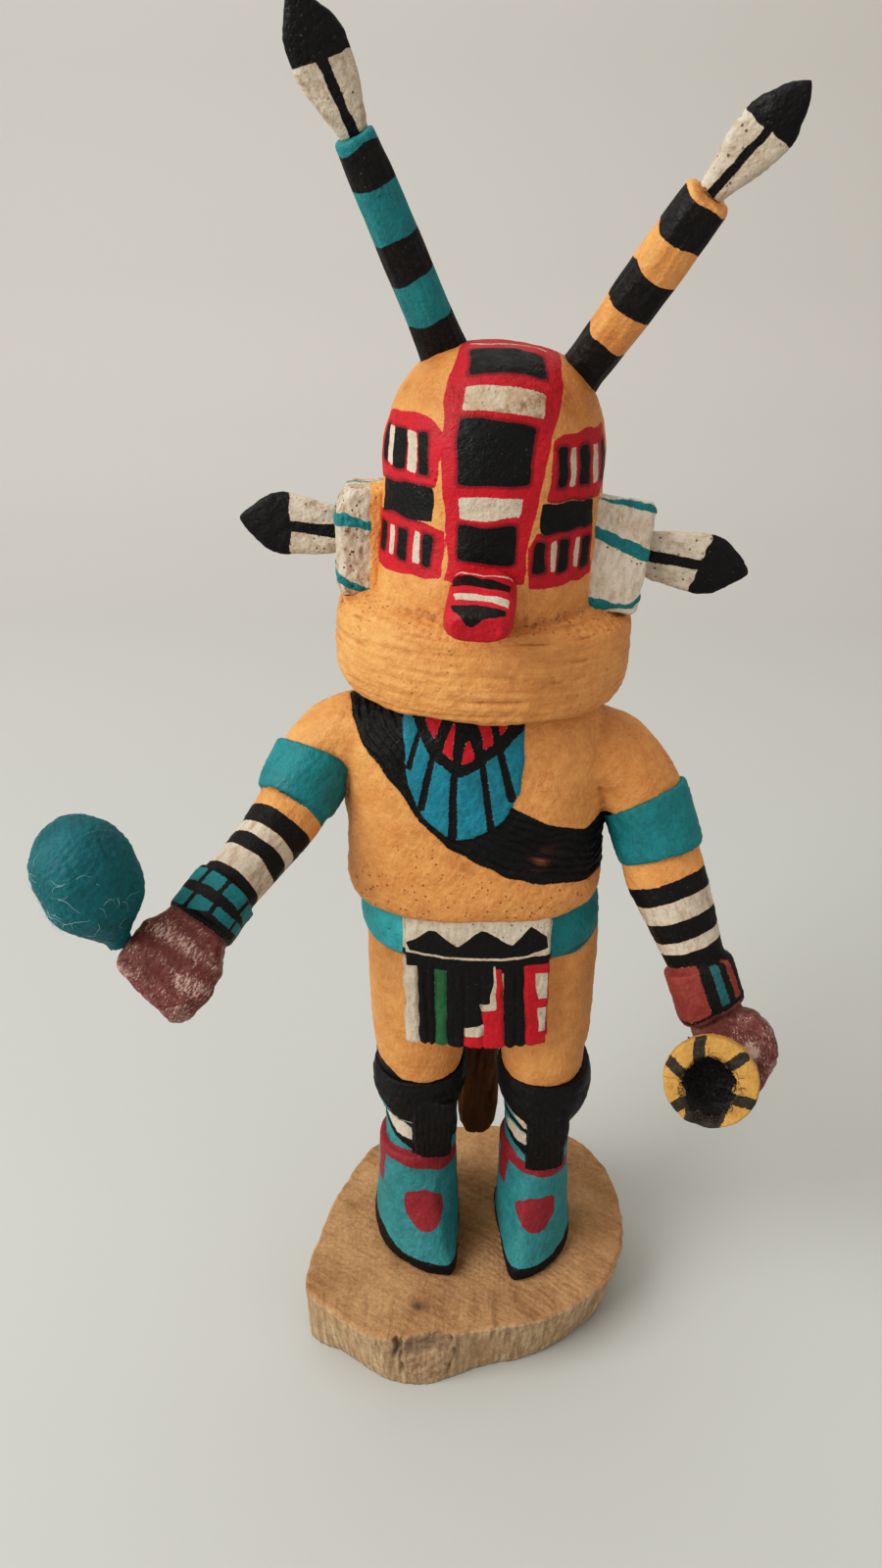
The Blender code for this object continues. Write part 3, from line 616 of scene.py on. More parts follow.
def painted(name, ground, coats, pits, bleed=0.0, shade_and_grime=1.0, wobble=0.10, shift=0.0, stained=0.5):
    """Hand-brushed tempera: a ground colour under coats whose edges the mesh keeps. Pits, the
    painted shade and grime in the hollows, bleed and stained, for the whites, are how strong each
    is."""
    finish, shader = new_finish(name)
    tree = finish.node_tree
    strokes = node(tree, "ShaderNodeAttribute", attribute_name="strokes").outputs["Vector"]
    broad = ranged(tree, grain_noise(tree, 22.0, 3.0, shift=shift), 0.32, 0.68)
    patchy = ranged(tree, grain_noise(tree, 3.0, 3.0, shift=shift + 0.1), 0.3, 0.7)
    lines = grain_noise(tree, 0.8, 3.0, shift=shift, place=strokes)
    fine = grain_noise(tree, 0.5, 2.0)
    grains = grain_noise(tree, 1.0, 3.0, shift=shift + 0.8)
    thin = times(tree, plus(tree, broad, patchy), 0.5)
    tone = plus(tree, times(tree, thin, 0.55), ranged(tree, lines, 0.3, 0.7, 0.0, 0.25, False),
                ranged(tree, fine, 0.3, 0.7, 0.0, 0.25, False))

    # Whites stain brown in streaks, more where they are grimy, and black gathers pale dust.
    grimy = noted(tree, "grimy")
    streaks = grain_noise(tree, 1.7, 5.0, shift=shift + 0.2, roughness=0.7, place=strokes)
    stains = times(tree, ranged(tree, streaks, 0.47, 0.68, 0.0, stained),
                   plus(tree, 1.0, times(tree, grimy, 3.0)))
    stains = worked_out(tree, "MINIMUM", 1.0, stains)
    dust = ranged(tree, grain_noise(tree, 0.4, 2.0, shift=shift + 0.9), 0.68, 0.76, 0.0, 0.5)
    spoils = {"white": (stains, light(136, 102, 72)), "clean white": (stains, light(160, 128, 88)),
              "black": (dust, light(120, 114, 104))}

    def laid(paint):
        coat_colour = tinted(tree, tone, *paints[paint])
        if paint in spoils:
            coat_colour = tinted(tree, spoils[paint][0], coat_colour, spoils[paint][1])
        return coat_colour

    # Each coat has a ragged edge. Earlier coats reach a little further, so that no ground shows
    # between two of them, and red darkens beside black.
    colour = laid(ground)
    ragged = times(tree, worked_out(tree, "SUBTRACT", fine, 0.5), wobble * 4.0)
    for rank, coat in enumerate(coats):
        reach = 0.07 + 0.14 * (len(coats) - 1 - rank) / max(len(coats) - 1, 1)
        edge = plus(tree, noted(tree, coat), ragged)
        colour = tinted(tree, ranged(tree, edge, -reach, 0.14 - reach), colour, laid(coat))
        if coat == "red" and bleed:
            halo = ranged(tree, plus(tree, noted(tree, "black"), ragged), -0.85, -0.25, 0.0, bleed)
            on_red = ranged(tree, noted(tree, "red"), -0.3, 0.0)
            colour = darkened(tree, colour, times(tree, halo, on_red), (0.38, 0.55, 0.50))

    # Painted shade and grime darken the hollows, a brown wash lies on grimy parts, and pits and
    # scuffs go through it all.
    hollow = ranged(tree, noted(tree, "ridge"), -0.30, -0.04, 1.0, 0.0)
    hollow_shade_and_grime = times(tree, hollow, ranged(tree, patchy, 0.0, 1.0, 0.35 * shade_and_grime, 0.85 * shade_and_grime, False))
    colour = darkened(tree, colour, hollow_shade_and_grime, (0.42, 0.29, 0.21))
    wash = times(tree, grimy, ranged(tree, patchy, 0.1, 0.9, 0.35, 1.0))
    colour = darkened(tree, colour, wash, (0.66, 0.52, 0.40))
    specks = node(tree, "ShaderNodeTexVoronoi", {
        "Vector": node(tree, "ShaderNodeTexCoord").outputs["Object"], "Scale": 1.0 / (1.25 * mm),
        "Randomness": 1.0}).outputs["Distance"]
    cluster = ranged(tree, plus(tree, grain_noise(tree, 7.0, 3.0, shift=shift + 0.3),
                                ranged(tree, noted(tree, "pitted"), 0.0, 1.0, -0.2, 0.2, False)),
                     0.45, 0.7)
    pit = times(tree, ranged(tree, specks, 0.10, 0.24, 1.0, 0.0), cluster)
    colour = darkened(tree, colour, times(tree, pit, pits), (0.16, 0.09, 0.06))
    veil = times(tree, noted(tree, "scuffed"), ranged(tree, grains, 0.35, 0.65, 0.02, 0.22))
    colour = tinted(tree, veil, colour, light(176, 140, 124))
    flecks = grain_noise(tree, 0.34, 4.0, roughness=0.7, shift=shift + 0.5, place=strokes)
    worn_off = worked_out(tree, "SUBTRACT", 0.74, times(tree, noted(tree, "scuffed"), 0.26))
    scuffs = ranged(tree, worked_out(tree, "SUBTRACT", flecks, worn_off), 0.0, 0.14, 0.0, 0.7)
    colour = tinted(tree, scuffs, colour, light(204, 178, 166))

    shader.inputs["Specular IOR Level"].default_value = 0.27
    tree.links.new(colour, shader.inputs["Base Color"])
    tree.links.new(ranged(tree, thin, 0.1, 0.9, 0.46, 0.66), shader.inputs["Roughness"])
    raised(tree, shader, plus(tree, times(tree, fine, 0.15), times(tree, grains, 0.20),
                              times(tree, lines, 0.10), times(tree, pit, -0.12)))
    return finish


dome_profile = [(176.0, 1.05), (184.0, 1.04), (190, 1.02), (200, 1.0), (207, 0.995), (211, 0.975),
                (214.5, 0.94), (217.5, 0.88), (220, 0.805), (222.3, 0.71), (224.1, 0.59),
                (225.5, 0.43), (226.2, 0.26), (226.5, 0.07)]
dome_radius = 20.3
collar_profile = [(163.5, 0.88), (164.2, 0.925), (165.3, 0.955), (168.5, 0.99), (173.0, 1.0),
                  (177.5, 0.992), (179.3, 0.98), (180.2, 0.955), (180.8, 0.90), (182.0, 0.80),
                  (183.2, 0.74), (184.6, 0.70)]
collar_half_width, collar_half_depth = 28.6, 25.4
neck_place = tuple(lean_pivot[:2])
dome = leaning(upright([(z, dome_radius * k, dome_radius * k) for z, k in dome_profile], neck_place,
                       sides=128))
collar = leaning(upright([(z, collar_half_width * k, collar_half_depth * k)
                          for z, k in collar_profile], neck_place, 2.1, sides=128))
head_mesh = blended([dome, collar], 0.42, 2)
points, directions, ridges = measured(head_mesh)

local = (points - lean_pivot) @ lean_turn
across_face = dome_radius * np.arctan2(local[:, 0], -local[:, 1])
height = local[:, 2] + lean_pivot[2]
ledge_height, collar_height, crown_height = 179.6, 183.0, 209.5
brow_height, brow_radius = 206.5, 19.5
on_collar = ramp(collar_height - height, 2.0)
streaks = np.column_stack([across_face * 0.06, np.hypot(local[:, 0], local[:, 1]) * 0.3, height])
relief = on_collar * ripples(streaks, 31, (0.13, 1.7), (0.17, 0.85))
relief += ripples(points, 33, (0.16, 11.0), (0.08, 4.5))
relief += 0.07 * unevenness(points, 1.6, 35) * (0.5 + 0.5 * on_collar)
on_ledge = ramp(height - ledge_height, 0.6) * ramp(ledge_height + 4.4 - height, 1.0)
relief += on_ledge * 0.14 * unevenness(points, 1.3, 40)
rim_nick = np.exp(-((height - ledge_height - 0.1 - 0.3 * unevenness(points, 12.0, 29)) / 0.32) ** 2)
relief -= rim_nick * np.maximum(0.22 + 0.3 * unevenness(points, 7.0, 28), 0)
points = points + directions * (relief - 0.1)[:, None]
ridges = ridges + 0.6 * relief

face = np.column_stack([across_face, height]) + 0.28 * wander(points, 5.0, 36)
over_top = brow_height + brow_radius * np.arctan2(height - brow_height,
                                                  np.maximum(-local[:, 1], -5.0))
column = np.column_stack([local[:, 0], np.where(height > brow_height, over_top, height)])
column = column + 0.25 * wander(points, 6.0, 38)
behind_crown, out_of_reach = local[:, 1] > 3.0, (0.0, 280.0)
column[behind_crown] = out_of_reach

coat = new_coat(points, ("red", "black", "white"))
red_column = [(-5.4, 243), (-7.8, 226.2), (-9.0, 219.2), (-8.9, 211.4), (-8.6, 205.2), (-7.8, 199.2),
              (-7.3, 193), (-7.5, 188.9), (5.9, 188.9), (6.5, 197.5), (7.6, 203), (8.4, 209.7),
              (9.6, 216.1), (10.5, 224.1), (9.6, 243)]
for red_panel, black_block, bar_top, bar_foot, bars in (
        ([(-27.2, 214.3), (-17, 215.3), (-12, 214.6), (-10.1, 213.0), (-10, 208.9), (-10.5, 204.4),
          (-16.5, 204), (-30.3, 203.6)],
         [(-26.3, 203.6), (-10.7, 204), (-10.5, 198.3), (-25.7, 198)], 212.6, 206.0,
         (("black", (-26.2, -24.4), (-26.4, -24.6)), ("white", (-24.4, -22.3), (-24.2, -22.0)),
          ("black", (-22.3, -18.3), (-22.0, -17.9)), ("white", (-18.2, -15.7), (-17.0, -14.6)),
          ("black", (-15.1, -12.7), (-14.1, -11.8)))),
        ([(-28, 197.8), (-17.7, 198.3), (-8.6, 197), (-8.6, 189.1), (-15.1, 188.6), (-28, 188)],
         None, 196.0, 190.7,
         (("black", (-26.2, -23.4), (-26.2, -23.4)), ("white", (-21.9, -19.9), (-21.5, -19.6)),
          ("black", (-18.7, -16.2), (-18.5, -16.1)), ("white", (-14.5, -13.1), (-14.3, -12.9)),
          ("black", (-12.4, -10.3), (-12.3, -10.3)))),
        ([(10.9, 212.5), (15.7, 213.7), (26, 214.1), (28, 205), (24.2, 202.7), (10, 203),
          (10.2, 208.9)],
         [(8.8, 202.4), (21.2, 202.4), (22.7, 197.6), (8.6, 197.5)], 211.5, 205.2,
         (("black", (11.5, 13.4), (11.3, 13.2)), ("white", (14.2, 15.7), (14.0, 15.4)),
          ("black", (16.8, 19.4), (16.5, 19.0)), ("white", (20.8, 22.6), (20.4, 22.3)),
          ("black", (24.1, 26.6), (23.7, 26.2)))),
        ([(8.1, 197.3), (22.1, 197.7), (22.1, 189.2), (13.7, 188.5), (7.3, 188.4), (7, 194.8)],
         None, 196.0, 190.7,
         (("black", (8.0, 9.8), (7.8, 9.6)), ("white", (11.0, 12.2), (10.8, 12.0)),
          ("black", (12.8, 15.1), (12.6, 14.9)), ("white", (16.8, 18.0), (16.6, 17.8)),
          ("black", (18.7, 21.4), (18.5, 21.2))))):
    brush(coat, "red", within(face, red_panel) + 0.2)
    if black_block:
        brush(coat, "black", block(face, black_block, 0.3))
    for colour, top_edge, foot_edge in bars:
        brush(coat, colour, block(face, [(top_edge[0], bar_top), (top_edge[1], bar_top),
                                         (foot_edge[1], bar_foot), (foot_edge[0], bar_foot)],
                                  0.25 if colour == "black" else 0.12))
brush(coat, "red", within(column, red_column))
brush(coat, "white", stroke(column, [(-5.0, 233.2), (1.0, 233.9), (7.6, 232.9)], (0.8, 1.4, 0.7)))
for colour, corners, rounding in (
        ("black", [(-5.1, 230.1), (6.8, 229.3), (7.7, 223.4), (-5.4, 223.1)], 0.45),
        ("white", [(-5.6, 221.1), (7.8, 220.6), (7.4, 216.4), (-6.0, 216.8)], 0.2),
        ("black", [(-6.3, 215.7), (6.2, 214.8), (5.8, 205.6), (-6.3, 205.3)], 0.3),
        ("white", [(-5.9, 203.2), (5.1, 203.5), (4.9, 200.1), (-5.6, 199.5)], 0.2),
        ("black", [(-5.6, 198.6), (4.4, 198.6), (4.1, 192.3), (-5.4, 192.7)], 0.3)):
    brush(coat, colour, block(column, corners, rounding))

head_paint = painted("mask_and_collar_paint", "ochre", ("red", "black", "white"), 0.6, bleed=0.85,
                     stained=0.25)
level = np.column_stack([across_face * (0.85 - 0.6 * on_collar), 0.0 * height, height])
crown_grime = ramp(height - crown_height, 9.0) * (0.7 + 0.5 * unevenness(points, 7.0, 27))
band_grime = (np.abs(column[:, 1] - 218.6) < 3.0) * (np.abs(column[:, 0]) < 9.0)
keep_coat(head_mesh, coat, ridges, level, 0.35 + 0.1 * on_collar + 0.5 * on_ledge,
          grimy=np.clip(0.8 * np.maximum(crown_grime, band_grime), 0, 1))
carved_piece("carved_head", head_mesh, points, "carved_figure", head_paint)


# ---------------------------------------------------------------- trunk and shoulders
# The bare trunk overhangs the belt and runs out into the upper arms. A black sash, scored along
# its length, crosses from the right shoulder under the left arm and up over the back. A painted
# bib of feathers hangs over it under the collar, a little proud.

trunk_centre, trunk_half_width, trunk_half_depth = (-0.5, -0.4), 27.3, 19.4
trunk_profile = [(116.4, 0.86, 0.80), (117.0, 0.93, 0.90), (119, 0.985, 0.985), (122, 1.0, 1.0),
                 (127, 0.985, 0.97), (132, 0.985, 0.93), (139, 1.01, 0.90), (146, 1.03, 0.88),
                 (152, 1.02, 0.86), (157, 0.95, 0.82), (160.5, 0.84, 0.76), (163, 0.70, 0.68),
                 (168, 0.60, 0.60)]
right_arm = [((-19, 0.5, 151.2), 9.4, 12.0), ((-26, 0, 150.6), 9.2, 11.0),
             ((-31, -1.6, 148.4), 8.5, 9.6), ((-35, -6, 143.5), 7.8, 8.2),
             ((-37.6, -9.6, 138.8), 7.3, 7.4), ((-40.5, -14, 135.5), 6.8, 6.8),
             ((-44.5, -21, 132.2), 6.3, 6.3), ((-50.4, -30.5, 128), 5.8, 5.8)]
left_arm = [((19, 0.5, 149.2), 10.0, 12.0), ((26.2, 0, 147.2), 9.8, 11.2),
            ((31.4, -1.4, 142.8), 9.3, 10.0), ((34.6, -3, 138), 8.6, 9.0),
            ((37.4, -5.6, 130), 8.2, 8.2), ((39.3, -7.8, 124), 8.3, 8.0),
            ((43, -10.8, 115), 7.2, 7.2), ((47, -13.8, 105.5), 6.1, 6.1),
            ((50.6, -16.4, 96), 5.8, 5.8)]
trunk_mesh = blended([
    upright([(z, trunk_half_width * w, trunk_half_depth * d) for z, w, d in trunk_profile],
            trunk_centre, 2.35, sides=128),
    limb(right_arm[:4]), limb(left_arm[:4])], 0.4, 6)
points, directions, ridges = measured(trunk_mesh)

wavy = 0.3 * wander(points, 6.0, 41)
front = points[:, [0, 2]] + wavy
at_front = points[:, 1] < trunk_centre[1]
sash_foot_edge = [(-27.5, 166), (-25.4, 160.2), (-25, 157.8), (-22.6, 154.2), (-18.6, 149.7),
                  (-14.2, 144), (-11.2, 139.6), (-6.5, 135.2), (-0.9, 131.8), (4.7, 129.4),
                  (10.3, 127.3), (17.8, 125.7), (23.3, 124.4), (32, 123.6)]
sash_head_edge = [(32, 138.2), (25.7, 138), (24, 137.7), (21.4, 136.6), (16.6, 138.2), (11, 141.1),
                  (7.1, 143.2), (-4, 152), (-14.0, 164.2), (-14.7, 172)]
sash_behind_edge = [(32, 123.6), (12, 131), (-8, 144.5), (-22, 156.5), (-27.5, 166)]
sash_front = within(front, sash_foot_edge + sash_head_edge)
sash_back = within(front, sash_behind_edge + [(-14.7, 172), (-12.5, 164.2), (4, 151.5),
                                              (18, 142.5), (32, 138.2)])
sash = np.where(at_front, sash_front, sash_back)
from_edge = np.where(at_front, -stroke(front, sash_foot_edge, 0.0),
                     -stroke(front, sash_behind_edge, 0.0))
bib_outline = [(-14.7, 168), (-14.7, 163), (-14.5, 157.1), (-13.8, 152.4), (-13.6, 148.1),
               (-12.5, 144.7), (-11.4, 142.1), (-9.2, 139.3), (-7, 137.6), (-5.7, 136.7),
               (-3.7, 136.6), (-1.8, 136.8), (0.4, 137.6), (2.3, 138.7), (5, 140.7), (6.7, 143.6),
               (8.2, 147.4), (8.6, 151.4), (8.5, 155.3), (8.7, 159.4), (8.8, 168)]
bib = kept_to(at_front, within(front, rim_curve(bib_outline, 4)))
bib_vee = [(-12.6, 162.6), (-11.4, 160.7), (-10.7, 159.5), (-9.2, 156.4), (-7.6, 153.8),
           (-4.4, 150.8), (-0.7, 152.4), (1.2, 154), (3.8, 155.9), (6.1, 158.2), (8.2, 159.8),
           (9.6, 161)]
bib_quills = [([(-11.4, 157.7), (-13.2, 151.2)], 1.2), ([(-8.7, 153.7), (-11, 142.9)], 1.5),
              ([(-4.6, 149.9), (-4.8, 136.8)], 1.8), ([(0.7, 153.2), (2.7, 139)], 1.5),
              ([(4.1, 155.1), (6.7, 145.4)], 1.7)]
bib_reds = [[(-9.9, 159.7), (-9.3, 161), (-6.7, 161.5), (-7.7, 159), (-8.5, 157), (-9.5, 158.1)],
            [(-5.7, 158.4), (-4.7, 160), (-4.4, 160), (-4.8, 156.6), (-5.1, 153.2), (-6.7, 154.8)],
            [(-2, 157.1), (-0.8, 153.5), (-3.3, 151.9), (-2.7, 154.5)],
            [(-0.2, 160), (1.6, 160), (2.6, 156.5), (1, 154.8), (0.6, 157.8)],
            [(3.3, 161), (5.7, 161), (5.3, 159.3), (4.2, 158.1)]]

straight = points[:, [0, 2]] + 0.2 * wavy
coat = new_coat(points, ("blue", "red", "black"))
brush(coat, "black", sash)
brush(coat, "blue", bib)
above_vee = within(front, bib_vee + [(9.6, 170), (-12.6, 170)])
brush(coat, "black", np.minimum(bib, above_vee))
for corners in bib_reds:
    brush(coat, "red", np.minimum(bib, within(front, corners) + 0.15))
brush(coat, "black", np.minimum(bib, stroke(front, bib_vee, 2.2)))
for path, width in bib_quills:
    brush(coat, "black", np.minimum(bib, stroke(straight, path, (width * 0.8, width))))

in_sash = ramp(sash, 0.5) * (bib < 0)
scoring_pitch = 1.7
scoring = 0.5 + 0.5 * np.cos(from_edge * math.tau / scoring_pitch
                             + 1.8 * unevenness(points, 9.0, 43))
fine_scoring = np.column_stack([from_edge, unevenness(points, 9.0, 44) * 2.0,
                                points @ (0.07, 0.0, -0.05)])
in_bib = np.clip(bib / 0.6 + 0.4, 0, 1)
relief = ripples(points, 45, (0.2, 13.0), (0.09, 5.0), (0.07, 1.5))
relief += in_sash * (0.10 - 0.42 * scoring ** 3 + 0.14 * unevenness(fine_scoring, 0.9, 48))
relief += 0.38 * in_bib + 0.07 * in_bib * unevenness(points, 0.9, 49)
for path, width in bib_quills + [(bib_vee, 2.2)]:
    relief -= 0.20 * in_bib * np.exp(-(stroke(straight, path, 0.0) / (width * 0.5)) ** 2)
low_trunk = ramp(138.0 - points[:, 2], 14.0)
relief -= 0.10 * low_trunk * np.maximum(unevenness(points, 0.95, 50) - 0.4, 0)
points = points + directions * (relief - 0.12)[:, None]
ridges = 0.7 * ridges + 0.6 * relief - 0.2 * in_bib

paints["blue"] = (light(20, 92, 108), light(38, 136, 154))
trunk_paint = painted("trunk_paint", "ochre", ("blue", "red", "black"), 0.8, shift=0.2, wobble=0.14)
tree = trunk_paint.node_tree
base_colour = tree.nodes["Principled BSDF"].inputs["Base Color"]
strokes = node(tree, "ShaderNodeAttribute", attribute_name="strokes").outputs["Vector"]
bare_wood_shows = times(tree, noted(tree, "rubbed"),
                        ranged(tree, grain_noise(tree, 0.9, 4.0, place=strokes), 0.42, 0.58))
tree.links.new(tinted(tree, bare_wood_shows, base_colour.links[0].from_socket, light(132, 74, 52)),
               base_colour)
along_sash = (front - (13.2, 131.6)) @ np.array(((0.93, 0.37), (-0.37, 0.93))).T
note(trunk_mesh, "rubbed", at_front * np.exp(-(along_sash[:, 0] / 2.4) ** 2
                                             - (along_sash[:, 1] / 1.5) ** 2))
running = np.where(in_sash[:, None] > 0, fine_scoring, drawn_out(points, (0.6, 0.0, 0.8), 0.5))
keep_coat(trunk_mesh, coat, ridges, running, 0.25 + 0.6 * low_trunk)
carved_piece("carved_trunk", trunk_mesh, points, "carved_figure", trunk_paint)


# ---------------------------------------------------------------- forearms and hands
# The arms come out of the shoulders as carved: a proud turquoise band, painted rings of black
# and white, a wrist guard, and a whittled fist left in flat knife cuts.

def along_arm(points, arm):
    """How far along the arm's centre line each point lies, how far out, and its angle round it."""
    centres = np.array(arm, float)
    place, out, angle = np.zeros(len(points)), np.full(len(points), 99.0), np.zeros(len(points))
    run = 0.0
    for start, end in zip(centres, centres[1:]):
        step = end - start
        length = np.linalg.norm(step)
        share = ramp((points - start) @ step, length ** 2)
        away = points - start - share[:, None] * step
        distance = np.linalg.norm(away, axis=1)
        nearer = distance < out
        ahead = step / length
        across = np.array((1.0, 0, 0)) - ahead * ahead[0]
        across /= np.linalg.norm(across)
        place = np.where(nearer, run + share * length, place)
        angle = np.where(nearer, np.degrees(np.arctan2(away @ np.cross(ahead, across),
                                                       away @ across)), angle)
        out = np.where(nearer, distance, out)
        run += length
    return place, out, angle


def band(place, start, end):
    """How far inside a painted ring each point lies."""
    return np.minimum(place - start, end - place)


right_armband = [((-33.0, -3.0, 147.5), 8.5, 9.5), ((-33.2, -3.3, 147.1), 8.8, 9.8),
                 ((-37.1, -8.4, 140.0), 8.3, 9.1), ((-37.3, -8.7, 139.6), 8.0, 8.8)]
right_cuff = [((-47.9, -26.9, 129.6), 6.3, 6.3), ((-48.2, -27.3, 129.4), 6.7, 6.7),
              ((-51.9, -33.2, 126.1), 6.7, 6.7), ((-52.2, -33.7, 125.8), 6.3, 6.3)]
right_hand = [((-51.0, -31.8, 127.0), 4.6, 4.6), ((-52.6, -34.2, 125.4), 6.3, 5.6),
              ((-54.8, -37.1, 122.6), 8.6, 6.4), ((-57.4, -40.9, 119.7), 9.2, 6.6),
              ((-59.6, -43.2, 117.9), 8.4, 6.0), ((-60.5, -43.9, 117.2), 6.9, 5.2)]
left_armband = [((34.0, -2.7, 139.8), 9.0, 9.6), ((34.3, -2.9, 139.2), 9.3, 9.9),
                ((38.0, -6.0, 129.0), 9.0, 9.4), ((38.2, -6.2, 128.4), 8.7, 9.1)]
left_cuff = [((46.8, -13.6, 105.8), 6.9, 6.9), ((47.0, -13.8, 105.3), 7.3, 7.3),
             ((50.0, -16.0, 97.3), 7.3, 7.3), ((50.2, -16.1, 96.8), 6.9, 6.9)]
left_hand = [((50.4, -16.0, 98.0), 4.8, 4.8), ((51.0, -16.8, 95.4), 5.7, 5.8),
             ((52.0, -17.8, 93.0), 5.9, 6.2), ((54.9, -19.4, 89.5), 8.8, 6.6),
             ((54.8, -20.0, 85.0), 7.9, 6.6), ((55.5, -20.7, 80.4), 6.1, 6.2),
             ((56.1, -21.2, 77.6), 4.4, 5.0)]

paints["cuff red"] = (light(112, 42, 38), light(144, 66, 58))
paints["maroon"] = (light(76, 30, 29), light(114, 58, 53))
paints["cuff teal"] = (light(20, 66, 70), light(40, 104, 110))
arm_colours = ("teal", "cuff teal", "cuff red", "maroon", "black", "white")
arm_paint = painted("arm_paint", "ochre", arm_colours, 0.45, shift=0.4, wobble=0.14, stained=0.6)
finger_width = 5.0
for name, arm, armband, cuff, cuff_power, cuff_radius, hand, hand_across, rings, cuff_span, seed in (
        ("carved_right_forearm", right_arm, right_armband, right_cuff, 2.4, 6.9, right_hand,
         (0.757, -0.26, -0.60),
         (("teal", 14.6, 27.4), ("black", 31.2, 36.3), ("white", 36.3, 39.0), ("black", 39.0, 42.5),
          ("white", 42.5, 47.3), ("black", 47.3, 51.0)), (49.6, 58.2, 0.0), 51),
        ("carved_left_forearm", left_arm, left_armband, left_cuff, 2.8, 7.4, left_hand,
         (1.0, 0.0, 0.0),
         (("teal", 16.6, 31.4), ("black", 36.3, 40.4), ("white", 40.4, 44.7), ("black", 44.7, 49.0),
          ("white", 49.0, 51.7), ("black", 51.7, 56.0)), (54.3, 65.8, 0.17), 61)):
    right = name == "carved_right_forearm"
    cuff_start, cuff_end, slant = cuff_span
    cuff_run = np.subtract(cuff[-1][0], cuff[0][0])
    cuff_rings = limb(cuff, cuff_power)
    share = ramp((cuff_rings - cuff[0][0]) @ cuff_run, cuff_run @ cuff_run)
    slide = slant * share * (cuff_rings[..., 0] - cuff[-1][0][0])
    cuff_rings = cuff_rings - slide[..., None] * cuff_run / np.linalg.norm(cuff_run)
    mesh = blended([limb(arm[3:]), limb(armband), cuff_rings,
                    limb(hand, 4.6, hand_across)], 0.38, 4)
    points, directions, ridges = measured(mesh)
    centre_line = [centre for centre, _, _ in arm] + [centre for centre, _, _ in hand[-2:]]
    place, out, angle = along_arm(points, centre_line)
    place = place + 0.13 * unevenness(points, 5.0, seed)
    down_cuff = ramp(place - cuff_start, cuff_end - cuff_start)
    place += slant * out * np.cos(np.radians(angle)) * down_cuff
    coat = new_coat(points, arm_colours)
    for colour, start, end in rings:
        brush(coat, colour, band(place, start, end))
    if right:
        brush(coat, "black", band(place, cuff_start - 0.6, cuff_end))
        lower_edge = cuff_end - 0.8 - 1.3 * ramp(100 - np.abs(angle), 30.0)
        for line_start, line_end in ((cuff_start + 0.4, 53.2), (54.1, lower_edge)):
            brush(coat, "teal", band(place, line_start, line_end))
        for line in (-162, -118, -72, -26, 18, 65, 106, 152):
            turn = np.radians(np.abs((angle - line + 180) % 360 - 180))
            brush(coat, "black", np.minimum(0.45 - turn * cuff_radius,
                                            band(place, cuff_start, cuff_end)))
    else:
        brush(coat, "cuff red", band(place, cuff_start, cuff_end))
        for colour, low, high in (("black", 98, 79), ("cuff teal", 79, 65), ("black", 65, 54),
                                  ("cuff red", 54, 42), ("black", 42, -8), ("cuff teal", -8, -34),
                                  ("black", -34, -44)):
            inside = np.minimum(low - angle, angle - high) * math.radians(1) * cuff_radius
            brush(coat, colour, np.minimum(inside, band(place, cuff_start, cuff_end)))
        shown = angle < 97
        brush(coat, "black", band(place, cuff_start - 0.7, cuff_start + 0.4 + 1.3 * shown))
        brush(coat, "black", band(place, cuff_end - 0.5 - 0.6 * shown, cuff_end + 0.3))
    brush(coat, "maroon", place - cuff_end)
    on_hand = ramp(place - cuff_end, 1.0)
    relief = ripples(points, seed + 1, (0.12, 9.0), (0.07, 3.5), (0.06, 1.3))
    if right:
        fingers = np.cos((place - cuff_end) * math.tau / finger_width
                         + 0.5 * unevenness(points, 8.0, seed + 4))
        relief += on_hand * (0.17 * fingers + 0.12 * unevenness(points, 1.8, seed + 5))
        still_smooth = np.exp(-(np.linalg.norm(points - (-60.0, -44.6, 122.4), axis=1) / 3.4) ** 2)
        bare = on_hand * np.clip(0.86 + 0.20 * fingers + 0.25 * unevenness(points, 5.0, seed + 6)
                                 - 0.8 * still_smooth, 0, 1.2)
    else:
        relief += on_hand * 0.14 * unevenness(points, 2.4, seed + 5)
        toward_left = ramp(points[:, 0] - 52.0, 7.0)
        bare = on_hand * (0.5 + 0.35 * toward_left + 0.3 * unevenness(points, 5.0, seed + 6))
        from_chip = (points[:, 0] - 57.2) ** 2 + (points[:, 2] - 92.0) ** 2
        bare += 1.3 * np.exp(-from_chip / 2.6) * (points[:, 1] < -20)
    points = points + directions * (relief - 0.08)[:, None]
    keep_coat(mesh, coat, ridges + 0.5 * relief, drawn_out(points, cuff_run, 0.3), 0.3,
              np.maximum(bare, 0.02))
    carved_piece(name, mesh, points, "carved_figure", arm_paint)


# ---------------------------------------------------------------- hips, belt and apron
# The pelvis and thighs are cut from the same billet. A turquoise belt stands proud round it, and
# the painted apron hangs in front: a white field, a stepped cloud band and fluted stripes.

leg_axis = {"right": -12.6, "left": 16.2}
thigh_half_width = {"right": 11.3, "left": 10.8}
thigh_profile = [(62.0, 0.82, 10.4), (68.0, 0.88, 11.0), (75.0, 0.94, 11.9), (84.0, 1.0, 12.4),
                 (96.0, 1.01, 12.6), (110.0, 1.0, 12.6)]
apron_half_width, apron_bow, apron_front, apron_back = 15.0, 2.3, -17.0, -9.0
apron_foot, belt_foot, trunk_foot = 86.0, 106.0, 117.0
hip_middle, hip_reach, belt_rise = 0.8, 25.7, 3.4

